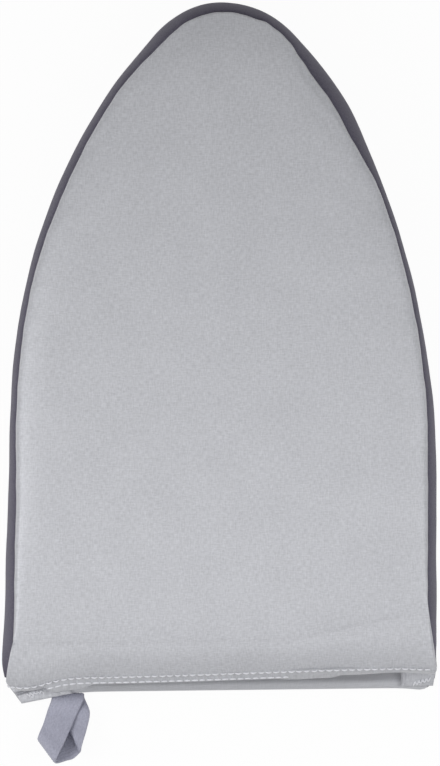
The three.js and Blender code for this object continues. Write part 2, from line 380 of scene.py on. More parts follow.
@dataclass(frozen=True)
class HandSewn:
    """How the sewn mitt drifts from an even shape, the same for every layer, in millimetres.

    The drift is a sum of bells: the right shoulder stands out, the waists and the left of the tip draw in,
    the left foot stands out, the left mouth corner is cut off and droops, the right one is squared, and the
    lip climbs to the right.
    """

    right_shoulder: Bulge = Bulge(3.0, 95.0, 24.0)
    right_waist: Bulge = Bulge(1.3, 8.0, 34.0)
    left_waist: Bulge = Bulge(2.2, -30.0, 52.0)
    left_tip: Bulge = Bulge(2.0, 118.0, 18.0)
    left_foot: Bulge = Bulge(0.7, -114.0, 9.0)
    droop: Bulge = Bulge(4.4, -74.0, 13.0)
    side_blend: float = 24.0
    lip_climb: float = 0.012
    lip_level_x: float = -44.0
    mouth_y: float = -121.0
    mouth_fade: float = 14.0
    corner_x: float = 78.0
    corner_y: float = -125.6
    corner_reach: float = 7.0
    cut_corner: float = 1.1
    square_corner: float = 1.3

    def moved(self, points: Array) -> Array:
        """The points with the drift added.

        Args:
            points: Points of any layer, drawn even on both sides.

        Returns:
            The points as sewn.
        """
        x, y = points[..., 0], points[..., 1]
        right = smooth((x / self.side_blend + 1.0) / 2.0)
        left = 1.0 - right
        near_mouth = 1.0 - smooth((y - self.mouth_y) / self.mouth_fade)
        cut = self.cut_corner * bell_2d(x + self.corner_x, y - self.corner_y, self.corner_reach)
        square = self.square_corner * bell_2d(x - self.corner_x, y - self.corner_y, self.corner_reach)
        climb = self.lip_climb * np.maximum(x - self.lip_level_x, 0.0)
        out = points.copy()
        out[..., 0] += right * (self.right_shoulder.at(y) - self.right_waist.at(y)) + cut + square
        out[..., 0] += left * (self.left_waist.at(y) + self.left_tip.at(y) - self.left_foot.at(y))
        out[..., 1] += near_mouth * (climb - self.droop.at(x)) + cut - square
        return out


@dataclass(frozen=True)
class Plan:
    """The mitt seen from above, even on both sides, and the heights of its layers.

    The outline is a straight mouth with rounded corners, straight sides, two long side arcs and a tip arc
    that they meet smoothly.
    """

    half_width: float
    tip_y: float
    mouth_y: float
    back_top: float
    lip_top: float
    hem_z: float
    seam_z: float
    face_top: float
    tip_radius: float = 34.0
    side_radius: float = 240.0
    corner_radius: float = 8.0
    top_half: float = 66.0
    gusset_rise: float = 16.0
    corner_draw: float = 14.0
    mouth_left: float = -50.0
    mouth_right: float = 66.0
    mouth_rise: float = 16.0
    loop_x: float = -56.3
    loop_half: float = 6.0
    loop_stack: float = 3.3
    loop_ramp: float = 5.0
    arc_points: int = 400
    corner_turn: float = 0.5
    corner_inset: float = 0.4
    band_taper: float = 5.5
    band_toe: float = -118.8
    seam_wave: float = 0.16
    notches: float = 0.5
    notch_x: float = 24.0
    notch_y: float = 116.0
    notch_reach: float = 14.0
    wave_lengths: tuple[float, ...] = (7.3, 11.9, 19.0)
    left_band: tuple[Pair, ...] = (
        (-121.0, 4.3), (-112.0, 4.2), (-104.0, 3.9), (-66.0, 3.4), (-28.0, 2.6), (24.0, 2.5), (62.0, 3.2),
        (98.0, 3.2), (117.0, 4.6), (127.5, 4.2),
    )
    right_band: tuple[Pair, ...] = (
        (-115.0, 0.6), (-110.0, 1.2), (-105.0, 2.3), (-100.0, 3.1), (-93.0, 3.6), (-40.0, 3.4), (-14.0, 2.7),
        (8.0, 2.1), (58.0, 2.1), (84.0, 4.7), (104.0, 5.4), (117.0, 3.5), (127.5, 4.2),
    )

    @classmethod
    def from_frame(cls) -> "Plan":
        """Take the plan's sizes from the boxes of the frame's nodes.

        Returns:
            The plan.
        """
        back_low, back_high = box_mm("back_panel")
        gusset_low, gusset_high = box_mm("side_gusset")
        lining_low, _ = box_mm("pad_lining")
        _, cover_high = box_mm("face_cover")
        return cls(
            half_width=(gusset_high[0] - gusset_low[0]) / 2.0,
            tip_y=float(gusset_high[1]),
            mouth_y=float(back_low[1]),
            back_top=float(back_high[2]),
            lip_top=float(gusset_low[2]),
            hem_z=float(lining_low[2]),
            seam_z=float(gusset_high[2]),
            face_top=float(cover_high[2]),
        )

    def set_back(self, from_mouth: float, corner_radius: float) -> "Plan":
        """The same plan with its mouth further in and other mouth corners."""
        return replace(self, mouth_y=self.mouth_y + from_mouth, corner_radius=corner_radius)

    @property
    def corner_x(self) -> float:
        """Half the length of the straight mouth."""
        return self.half_width - self.corner_radius

    @property
    def corner_y(self) -> float:
        """Where the sides begin, above the mouth corners."""
        return self.mouth_y + self.corner_radius

    def course(self) -> tuple[Array, Array]:
        """The outline as a dense closed line from the middle of the left mouth corner, counter-clockwise.

        Returns:
            The points, and the distance of each along the line. The first point comes again at the end.
        """
        tip_centre = self.tip_y - self.tip_radius
        side_x = self.half_width - self.side_radius
        side_y = tip_centre - math.sqrt((self.side_radius - self.tip_radius) ** 2 - side_x**2)
        meet = math.atan2(tip_centre - side_y, -side_x)
        right_angle = math.pi / 2.0
        arcs = (
            (-self.corner_x, self.corner_y, self.corner_radius, 2.5 * right_angle, 3.0 * right_angle),
            (self.corner_x, self.corner_y, self.corner_radius, -right_angle, 0.0),
            (side_x, side_y, self.side_radius, 0.0, meet),
            (0.0, tip_centre, self.tip_radius, meet, math.pi - meet),
            (-side_x, side_y, self.side_radius, math.pi - meet, math.pi),
            (-self.corner_x, self.corner_y, self.corner_radius, 2.0 * right_angle, 2.5 * right_angle),
        )
        turns = [(x, y, r, np.linspace(start, end, self.arc_points)) for x, y, r, start, end in arcs]
        bends = [np.column_stack([x + r * np.cos(t), y + r * np.sin(t)]) for x, y, r, t in turns]
        rough = np.concatenate(bends)
        steps = np.linalg.norm(np.diff(rough, axis=0), axis=1)
        run = np.concatenate([[0.0], np.cumsum(steps)])
        even = np.linspace(0.0, run[-1], len(arcs) * self.arc_points)
        return np.column_stack([np.interp(even, run, rough[:, k]) for k in (0, 1)]), even

    def stations(self, at: Array) -> Stations:
        """Stations at distances along the outline, with normals square to the line through their neighbours.

        Args:
            at: Distances along the outline, as course gives them.

        Returns:
            The stations.
        """
        line, run = self.course()
        ahead = np.gradient(np.vstack([line[-3:-1], line, line[1:3]]), axis=0)[2:-2]
        ahead /= np.linalg.norm(ahead, axis=1, keepdims=True)
        place = np.column_stack([np.interp(at, run, line[:, k]) for k in (0, 1)])
        normal = np.column_stack([np.interp(at, run, ahead[:, 1]), -np.interp(at, run, ahead[:, 0])])
        normal /= np.linalg.norm(normal, axis=1, keepdims=True)
        at_mouth = (np.abs(place[:, 0]) <= self.corner_x) & (place[:, 1] < self.corner_y)
        return Stations(place, normal, at - run[np.argmax(line[:, 1])], at_mouth)

    def round_stations(self, across: int, along: int) -> Stations:
        """Stations all round the outline, as filled takes them: mouth, right side, tip, left side.

        Args:
            across: Stations along the mouth, and as many round the tip.
            along: Stations up each side.

        Returns:
            The 2 * (across + along) stations.
        """
        line, run = self.course()
        right = run[np.argmax(line[:, 0] - line[:, 1])]
        tip = run[np.argmax(line[:, 1])]
        ends = (0.0, right, tip - self.top_half, tip + self.top_half, run[-1])
        counts = (across, along, across, along)
        runs = [np.linspace(a, b, n, endpoint=False) for a, b, n in zip(ends[:-1], ends[1:], counts)]
        return self.stations(np.concatenate(runs))

    def side_stations(self, count: int, toe: float) -> Stations:
        """Stations up the right side, round the tip and down the left side.

        Args:
            count: How many.
            toe: Height above the mouth corners at which the ends lie.

        Returns:
            The stations.
        """
        line, run = self.course()
        upper = run[line[:, 1] >= self.corner_y + toe]
        return self.stations(np.linspace(upper[0], upper[-1], count))

    def mouth_stations(self, count: int, margin: float) -> Stations:
        """Stations along the mouth from left to right.

        Args:
            count: How many.
            margin: How far short of the corners' middles they stop.

        Returns:
            The stations.
        """
        line, run = self.course()
        right = run[np.argmax(line[:, 0] - line[:, 1])]
        return self.stations(np.linspace(margin, right - margin, count))

    def corner(self, st: Stations) -> Array:
        """How near a station is to a mouth corner.

        Args:
            st: Stations round the outline.

        Returns:
            1 on a corner, 0 well along the mouth or up the side, and a smoothstep between.
        """
        up_side = 1.0 - smooth((st.place[:, 1] - self.corner_y) / self.gusset_rise)
        along_mouth = 1.0 - smooth((self.corner_x - np.abs(st.place[:, 0])) / self.corner_draw)
        return np.where(st.at_mouth, along_mouth, up_side)

    def mouthness(self, st: Stations) -> Array:
        """1 on the straight mouth, 0 up the sides, and a change over the last part of each corner arc."""
        depth = (self.corner_y - st.place[:, 1]) / self.corner_radius
        return np.where(st.at_mouth, 1.0, smooth((depth - self.corner_turn) / (1.0 - self.corner_turn)))

    def side_inset(self, st: Stations) -> Array:
        """Inset of the front seam: the band's width times sin(t * pi / 2) over the taper t at the corners."""
        up_side = np.clip((st.place[:, 1] - self.band_toe) / self.band_taper, 0.0, 1.0)
        return lerp(self.corner_inset, self.band(st), np.sin(up_side * math.pi / 2.0))

    def sewn_down(self, st: Stations) -> Array:
        """How far the cover is sewn down to the back.

        Args:
            st: Stations round the outline.

        Returns:
            1 beside the mouth, 0 where the mouth or the side is open, and a smoothstep between.
        """
        from_left = smooth((st.place[:, 0] - self.mouth_left) / self.mouth_rise)
        from_right = smooth((self.mouth_right - st.place[:, 0]) / self.mouth_rise)
        return np.where(st.at_mouth, 1.0 - from_left * from_right, self.corner(st))

    def webbing_step(self, st: Stations) -> Array:
        """How far the layers at the lip step up over the ends of the webbing."""
        off = np.abs(st.place[:, 0] - self.loop_x) - self.loop_half
        return np.where(st.at_mouth, (1.0 - smooth(off / self.loop_ramp)) * self.loop_stack, 0.0)

    def band(self, st: Stations, along: Array | None = None) -> Array:
        """Width of the gusset that shows from above, outside the front seam.

        Args:
            st: Stations round the outline.
            along: Places along the mitt to take the widths at, in place of the stations' own.

        Returns:
            The width at each station.
        """
        x, y = st.place.T
        at = y if along is None else along
        width = np.where(x > 0.0, eased(at, self.right_band), eased(at, self.left_band))
        uneven = self.seam_wave + self.notches * bell_2d(x - self.notch_x, y - self.notch_y, self.notch_reach)
        return width + uneven * ripple(st.run, self.wave_lengths, Seed.SEAM_WAVE)


def add_node(
    tree: bpy.types.NodeTree, kind: str, settings: dict[str, Any], inputs: dict[Any, Any]
) -> bpy.types.Node:
    """Add a shader node with its settings and links.

    Args:
        tree: Node tree of a material or the world.
        kind: Blender's name of the node type.
        settings: The node's own options by name.
        inputs: Input sockets by name or number, each with a value or the output socket that feeds it.

    Returns:
        The new node.
    """
    node = tree.nodes.new(kind)
    for name, value in settings.items():
        setattr(node, name, value)
    for name, value in inputs.items():
        if isinstance(value, bpy.types.NodeSocket):
            tree.links.new(value, node.inputs[name])
        else:
            node.inputs[name].default_value = value
    return node


@dataclass(frozen=True)
class Finish:
    """A material of woven or soft stuff, with its main colour and the shader's plain values."""

    name: str
    pale: str
    deep: str
    roughness: float
    specular: float
    sheen: float
    metallic: float = 0.0

    def shader(self) -> tuple[bpy.types.Material, bpy.types.NodeTree, bpy.types.Node]:
        """Make a material with a plain Principled shader on its output.

        Returns:
            The material, its node tree and the shader's node.
        """
        material = bpy.data.materials.new(self.name)
        material.use_nodes = True
        tree = material.node_tree
        tree.nodes.clear()
        values = {
            "Roughness": self.roughness,
            "Specular IOR Level": self.specular,
            "Sheen Weight": self.sheen,
            "Metallic": self.metallic,
        }
        surface = add_node(tree, "ShaderNodeBsdfPrincipled", {}, values)
        add_node(tree, "ShaderNodeOutputMaterial", {}, {"Surface": surface.outputs["BSDF"]})
        return material, tree, surface

    def cloth_coordinates(self, tree: bpy.types.NodeTree) -> bpy.types.NodeSocket:
        """The flat cloth's coordinates in metres."""
        return add_node(tree, "ShaderNodeUVMap", {"uv_map": CLOTH_MAP}, {}).outputs["UV"]


@dataclass(frozen=True)
class WovenCloth(Finish):
    """Plain woven cloth: crossing threads give a fine grain, and uneven yarn a soft heather.

    The threads are far finer than a pixel, so the weave is drawn at a coarser spacing that just shows.
    """

    thread_mm: float = 0.5
    slub_mm: float = 2.0
    thread_depth_mm: float = 0.08
    heather_share: float = 1.0
    cloud_mm: float = 17.0
    cloud_share: float = 0.25
    noise_detail: float = 2.0
    bump_strength: float = 0.6

    def noise(self, tree: bpy.types.NodeTree, at: bpy.types.NodeSocket, scale: float) -> bpy.types.NodeSocket:
        """Flat noise at the given coordinates and scale."""
        inputs = {"Vector": at, "Scale": scale, "Detail": self.noise_detail}
        return add_node(tree, "ShaderNodeTexNoise", {"noise_dimensions": "2D"}, inputs).outputs["Fac"]

    def yarn(
        self, tree: bpy.types.NodeTree, coordinates: bpy.types.NodeSocket, lengthwise: bool
    ) -> bpy.types.NodeSocket:
        """Noise drawn out along one thread direction.

        Args:
            tree: Node tree of the material.
            coordinates: Coordinates on the flat cloth.
            lengthwise: Whether the threads run along the cloth, or across it.

        Returns:
            Noise as wide as a drawn thread and as long as a thick place in it.
        """
        across, along = 1.0 / (self.thread_mm * MM), 1.0 / (self.slub_mm * MM)
        scale = (across, along, 1.0) if lengthwise else (along, across, 1.0)
        inputs = {0: coordinates, 1: scale}
        stretched = add_node(tree, "ShaderNodeVectorMath", {"operation": "MULTIPLY"}, inputs)
        return self.noise(tree, stretched.outputs[0], 1.0)

    def material(self) -> bpy.types.Material:
        """Build the material.

        The colour runs from deep to pale with the sum of the two yarn noises and a broad one, each about
        its mean, and the yarn noises are the height of the bump too.

        Returns:
            The material.
        """
        material, tree, surface = self.shader()
        coordinates = self.cloth_coordinates(tree)
        warp = self.yarn(tree, coordinates, True)
        weft = self.yarn(tree, coordinates, False)
        cloud = self.noise(tree, coordinates, 1.0 / (self.cloud_mm * MM))
        weave = add_node(tree, "ShaderNodeMath", {}, {0: warp, 1: weft})
        level = 0.5 - self.heather_share - self.cloud_share / 2.0
        heather = add_node(
            tree,
            "ShaderNodeMath",
            {"operation": "MULTIPLY_ADD"},
            {0: weave.outputs[0], 1: self.heather_share, 2: level},
        )
        shade = add_node(
            tree,
            "ShaderNodeMath",
            {"operation": "MULTIPLY_ADD", "use_clamp": True},
            {0: cloud, 1: self.cloud_share, 2: heather.outputs[0]},
        )
        colour = add_node(
            tree,
            "ShaderNodeMix",
            {"data_type": "RGBA"},
            {"Factor": shade.outputs[0], 6: linear(self.deep), 7: linear(self.pale)},
        )
        tree.links.new(colour.outputs[2], surface.inputs["Base Color"])
        depth = self.thread_depth_mm * MM
        inputs = {"Height": weave.outputs[0], "Distance": depth, "Strength": self.bump_strength}
        bump = add_node(tree, "ShaderNodeBump", {}, inputs)
        tree.links.new(bump.outputs["Normal"], surface.inputs["Normal"])
        return material


SILVER_CLOTH = WovenCloth(
    name="silver_coated_cotton_cloth", pale="#c9cacf", deep="#aeafb4",
    roughness=0.5, specular=0.35, sheen=0.05, metallic=0.2,
)
GREY_CLOTH = WovenCloth(
    name="dyed_polyester_plain_cloth", pale="#6c6977", deep="#54515e",
    roughness=0.8, specular=0.25, sheen=0.1, thread_mm=0.4, slub_mm=1.4,
)
LINING_CLOTH = WovenCloth(
    name="polyester_satin_lining", pale="#cccdd2", deep="#bdbec3",
    roughness=0.42, specular=0.45, sheen=0.05, thread_mm=0.3, slub_mm=4.0, thread_depth_mm=0.02,
)
WEBBING = WovenCloth(
    name="woven_polyester_webbing", pale="#babbca", deep="#9d9eae",
    roughness=0.66, specular=0.35, sheen=0.08, thread_mm=0.4, slub_mm=0.9, thread_depth_mm=0.1,
)
FOAM = WovenCloth(
    name="open_cell_polyurethane_foam", pale="#efe9d6", deep="#dbd3bb",
    roughness=0.95, specular=0.1, sheen=0.0, thread_mm=0.8, slub_mm=0.8, thread_depth_mm=0.3,
)
THREAD = WovenCloth(
    name="spun_polyester_thread", pale="#eeeff3", deep="#dcdde3",
    roughness=0.6, specular=0.3, sheen=0.1, thread_mm=0.3, slub_mm=0.5, thread_depth_mm=0.05,
)


@dataclass
class Piece:
    """A finished piece of the mitt and what it says to the frame."""

    name: str
    surface: Surface
    material: bpy.types.Material
    slot: Slot
    body: Body = Body.MITT
    replaces: tuple[str, ...] = ()
    thickness: float = 0.0
    smoothing: int = 0

    def place(self) -> bpy.types.Object:
        """Make the object, give it its thickness and finish, and tie it to the frame."""
        return self.dress(self.surface.piece(self.name))

    def dress(self, made: bpy.types.Object) -> bpy.types.Object:
        """Give an object its modifiers and material, tie it to the frame and report it.

        Args:
            made: The object.

        Returns:
            The same object.
        """
        made.data.materials.append(self.material)
        if self.smoothing:
            rounder = made.modifiers.new("rounding", "SUBSURF")
            rounder.levels = self.smoothing
            rounder.render_levels = self.smoothing
        if self.thickness:
            wall = made.modifiers.new("cloth", "SOLIDIFY")
            wall.thickness = self.thickness * MM
            wall.offset = -1.0
        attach(made, self.body.value)
        if self.replaces:
            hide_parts(*self.replaces)
        log.info("%s: %d vertices", made.name, len(made.data.vertices))
        return made


@dataclass
class Inflation:
    """A short cloth run that swells a piece between its pinned edges and keeps the result as its mesh."""

    frames: int = 20
    pressure: float = 0.5
    slack: float = 0.004
    stiffness: float = 15.0
    shear: float = 5.0
    bending: float = 0.6
    mass: float = 0.3
    quality: int = 6
    cap: float = 2.5
    kept: float = 0.15

    def swell(self, made: bpy.types.Object, pinned: Faces) -> None:
        """Run the cloth, and keep a share of each point's move, which never passes the cap.

        A move d is kept as kept * cap * tanh(|d| / cap) in its own direction.

        Args:
            made: The piece, before its thickness.
            pinned: Numbers of the vertices that stay where they are.
        """
        start = np.zeros(len(made.data.vertices) * 3)
        made.data.vertices.foreach_get("co", start)
        start = start.reshape(-1, 3)
        group = made.vertex_groups.new(name="pinned")
        group.add(pinned.tolist(), 1.0, "REPLACE")
        cloth = made.modifiers.new("swelling", "CLOTH")
        settings = cloth.settings
        settings.quality = self.quality
        settings.mass = self.mass
        settings.tension_stiffness = self.stiffness
        settings.compression_stiffness = self.stiffness
        settings.shear_stiffness = self.shear
        settings.bending_stiffness = self.bending
        settings.shrink_min = -self.slack
        settings.use_pressure = True
        settings.uniform_pressure_force = self.pressure
        settings.effector_weights.gravity = 0.0
        settings.vertex_group_mass = group.name
        scene = bpy.context.scene
        for number in range(1, self.frames + 1):
            scene.frame_set(number)
        shaped = made.evaluated_get(bpy.context.evaluated_depsgraph_get())
        end = np.zeros(len(shaped.data.vertices) * 3)
        shaped.data.vertices.foreach_get("co", end)
        move = end.reshape(-1, 3) - start
        far = np.linalg.norm(move, axis=1, keepdims=True) / MM
        share = self.kept * self.cap * np.tanh(far / self.cap) / np.maximum(far, TINY)
        made.modifiers.remove(cloth)
        made.vertex_groups.remove(group)
        made.data.vertices.foreach_set("co", (start + move * share).ravel())
        made.data.update()
        scene.frame_set(1)
        log.info("%s swelled by up to %.2f mm", made.name, float((far * share).max()))


@dataclass
class PadCover:
    """The silver face: a crowned cover with a rolled edge, a stitched hem and sewn-down mouth corners."""

    plan: Plan
    sewn: HandSewn
    crown: float = 3.3
    across: int = 64
    along: int = 84
    shoulder_rings: int = 8
    skirt_rings: int = 7
    side_shoulder: float = 0.6
    left_shoulder: float = 13.0
    right_shoulder: float = 22.0
    right_from: float = 20.0
    side_turn: float = 1.45
    mouth_turn: float = 0.85
    right_turn: float = 1.1
    tip_from: float = 96.0
    tip_to: float = 125.0
    tip_fall: float = 0.86
    seam_above: float = 0.7
    seam_gap: float = 0.2
    setback_left: float = 0.0
    setback_right: float = 1.8
    row_inset: float = 1.6
    row_above: float = 8.2
    fold: float = 1.0
    nose_insets: Pair = (-0.15, 0.6)
    nose_drop: float = 0.4
    under_insets: Pair = (0.4, 1.3)
    under_drop: float = 0.8
    inner_insets: Pair = (2.6, 1.2)
    inner_drops: Pair = (0.75, 1.0)
    turned_rings: int = 3
    cloth: float = 0.5
    sewn_above: float = 1.8
    row_pucker: float = 0.22
    row_pucker_lengths: tuple[float, ...] = (3.9, 6.1, 9.7)

    def setback(self, st: Stations) -> Array:
        """Inset of the hem's edge along the mouth, which grows to the right by a smoothstep.

        Args:
            st: Stations round the outline.

        Returns:
            The inset at each station.
        """
        left, right = self.plan.mouth_left, self.plan.mouth_right
        share = smooth((st.place[:, 0] - left) / (right - left))
        return lerp(self.setback_left, self.setback_right, share)

    def rim(self, st: Stations) -> tuple[Array, Array]:
        """The cover's edge: the side seam, the hem of the open mouth, or the sewn-down corner.

        Args:
            st: Stations round the outline.

        Returns:
            Its inset and its height at each station.
        """
        plan = self.plan
        mouth = plan.mouthness(st)
        inset = lerp(plan.side_inset(st), self.setback(st), mouth)
        open_z = lerp(plan.seam_z, plan.hem_z + self.fold, mouth)
        sewn_z = plan.lip_top + self.sewn_above + plan.webbing_step(st)
        return inset, lerp(open_z, sewn_z, plan.sewn_down(st))

    def shoulder(self, st: Stations) -> tuple[Array, Array]:
        """The end of the rolled edge: at the upper stitch row, or just above the side seam.

        Args:
            st: Stations round the outline.

        Returns:
            Its inset and its height at each station.
        """
        plan = self.plan
        mouth = plan.mouthness(st)
        inset = lerp(plan.side_inset(st) + self.seam_gap, self.setback(st) + self.row_inset, mouth)
        return inset, lerp(plan.seam_z + self.seam_above, plan.hem_z + self.row_above, mouth)

    def flat_edge(self, st: Stations, skin: float) -> Array:
        """Where the flat of the face ends: the shoulder's end drawn in, lengthwise and across.

        Args:
            st: Stations round the outline.
            skin: How far inside the face the points lie.

        Returns:
            A point for each station.
        """
        plan = self.plan
        y = st.place[:, 1]
        at_mouth = lerp(self.left_shoulder, self.right_shoulder, self.to_right(st))
        lengthwise = np.where(y > 0.0, self.side_shoulder / plan.tip_y, -at_mouth / plan.mouth_y)
        band = plan.band(st, y * (1.0 - lengthwise))
        side = band + self.seam_gap + skin
        inset = lerp(side, self.setback(st) + self.row_inset, plan.mouthness(st))
        end = st.inward(inset, plan.face_top - self.crown - skin)
        end[:, 0] *= 1.0 - self.side_shoulder / plan.half_width
        end[:, 1] *= 1.0 - lengthwise
        return end

    def to_right(self, st: Stations) -> Array:
        """0 over most of the mouth, rising by a smoothstep to 1 at its right corner."""
        return smooth((st.place[:, 0] - self.right_from) / (self.plan.corner_x - self.right_from))

    def turn(self, st: Stations) -> Array:
        """How far the edge rolls over, in radians: almost a right angle on the sides, less at the mouth."""
        at_mouth = lerp(self.mouth_turn, self.right_turn, self.to_right(st))
        return lerp(self.side_turn, at_mouth, self.plan.mouthness(st))

    def settled(self, points: Array, skin: float = 0.0) -> Array:
        """The points with the face brought down to the seam over the tip.

        Heights over the seam shrink by a share tip_fall * t^3, where t runs from 0 where the tip begins to
        1 at its end.

        Args:
            points: Points of the cover, or of a layer inside it.
            skin: How far inside the cover that layer lies.

        Returns:
            The points as they settle.
        """
        along = np.clip((points[:, 1] - self.tip_from) / (self.tip_to - self.tip_from), 0.0, 1.0)
        seam = self.plan.seam_z + self.seam_above - skin
        out = points.copy()
        out[:, 2] -= np.maximum(points[:, 2] - seam, 0.0) * self.tip_fall * along**3
        return out

    def rolled(self, st: Stations, skin: float = 0.0) -> Array:
        """Rings of the rolled edge, offset inwards by a skin: part of an ellipse from flat to shoulder.

        At a turn t of T the ring is sin(t) / sin(T) of the way out and (1 - cos(t)) / (1 - cos(T)) of the way
        down. Along the mouth small gathers grow as (t / T)^3 towards the stitch row.

        Args:
            st: Stations round the outline.
            skin: How far inside the face the rings lie.

        Returns:
            Rings of points, from the innermost out.
        """
        start = self.flat_edge(st, skin)
        inset, z = self.shoulder(st)
        end = st.inward(inset + skin, z)
        full = self.turn(st)
        part = np.linspace(0.0, 1.0, self.shoulder_rings)[:, None] * full
        rings = lerp(start[None], end[None], (np.sin(part) / np.sin(full))[..., None])
        rings[..., 2] = lerp(start[:, 2], end[:, 2], (1.0 - np.cos(part)) / (1.0 - np.cos(full)))
        gathers = self.row_pucker * ripple(st.run, self.row_pucker_lengths, Seed.HEM_GATHER)
        rings[..., 2] += gathers * self.plan.mouthness(st) * (part / full) ** 3
        return rings

    def hem_line(self, st: Stations, above: float) -> Array:
        """Points of the cover's skirt: its height runs evenly up and its inset as the square of the way.

        Args:
            st: Stations round the outline.
            above: Share of the way up from the cover's edge to its shoulder.

        Returns:
            A point for each station.
        """
        rim_inset, rim_z = self.rim(st)
        inset, z = self.shoulder(st)
        return st.inward(lerp(rim_inset, inset, above**2), lerp(rim_z, z, above))

    def rings(self, st: Stations) -> Array:
        """All the rings of the cover, from the flat out to the turned-under hem or the edge in the seam.

        Args:
            st: Stations round the outline.

        Returns:
            Rings of points: the rolled edge, the skirt, and the hem's nose, underside and inner edge.
        """
        shares = np.linspace(1.0, 0.0, self.skirt_rings + 1)[1:]
        skirt = np.stack([self.hem_line(st, share) for share in shares])
        inset, z = self.rim(st)
        open_side = np.where(st.at_mouth, 0.0, 1.0 - self.plan.sewn_down(st))
        nose = st.inward(inset + lerp(*self.nose_insets, open_side), z - self.fold * self.nose_drop)
        under = st.inward(inset + lerp(*self.under_insets, open_side), z - self.fold * self.under_drop)
        inner_inset = inset + lerp(*self.inner_insets, self.plan.corner(st))
        inner = st.inward(inner_inset, z - self.fold * lerp(*self.inner_drops, open_side))
        return np.concatenate([self.rolled(st), skirt, np.stack([nose, under, inner])])

    def surface(self) -> Surface:
        """The cover as sewn, before its swelling.

        Returns:
            Its surface.
        """
        st = self.plan.round_stations(self.across, self.along)
        made = filled(self.rings(st), self.across, self.along, self.crown)
        made.points = self.sewn.moved(self.settled(made.points))
        return made

    def build(self) -> bpy.types.Object:
        """Make the cover, swell it by a cloth run and dress it.

        Returns:
            The piece.
        """
        surface = self.surface()
        piece = Piece("cover_cloth", surface, SILVER_CLOTH.material(), Slot.SILVER,
                      replaces=("face_cover",), thickness=self.cloth, smoothing=1)
        made = surface.piece(piece.name)
        count = 2 * (self.across + self.along)
        rings = self.shoulder_rings + self.skirt_rings + self.turned_rings
        pinned = np.arange((self.shoulder_rings - 1) * count, rings * count)
        Inflation().swell(made, pinned)
        piece.dress(made)
        return made


@dataclass
class FoamCore:
    """The foam slab inside the cover, with the cover's crown and rolled edge."""

    plan: Plan
    sewn: HandSewn
    cover: PadCover
    skin: float = 2.2
    above_lining: float = 1.2
    base_share: float = 0.9

    def build(self) -> bpy.types.Object:
        """Make the closed slab: the rolled top, a wall and a level base.

        Returns:
            The piece.
        """
        cover = self.cover
        st = self.plan.round_stations(cover.across // 2, cover.along // 2)
        base_z = self.plan.hem_z + self.above_lining
        top = cover.rolled(st, self.skin)
        wall_inset = cover.shoulder(st)[0] + self.skin
        middle = st.inward(wall_inset, (top[-1, :, 2] + base_z) / 2.0)
        foot = st.inward(wall_inset, base_z)
        rings = np.concatenate([top, np.stack([middle, foot])])
        upper = filled(rings, cover.across // 2, cover.along // 2, cover.crown)
        inner = foot * [self.base_share, self.base_share, 1.0]
        under = filled(np.stack([inner, foot]), cover.across // 2, cover.along // 2)
        count, last = len(st.run), (len(rings) - 1) * len(st.run)
        number = np.arange(len(under.points)) + len(upper.points)
        number[count : 2 * count] = last + np.arange(count)
        surface = Surface(
            points=self.sewn.moved(cover.settled(np.concatenate([upper.points, under.points]), self.skin)),
            quads=np.concatenate([upper.quads, number[under.quads[:, ::-1]]]),
            cloth=np.concatenate([upper.cloth, under.cloth]),
        )
        made = Piece("foam_core", surface, FOAM.material(), Slot.FOAM, replaces=("foam_pad",)).place()
        return made


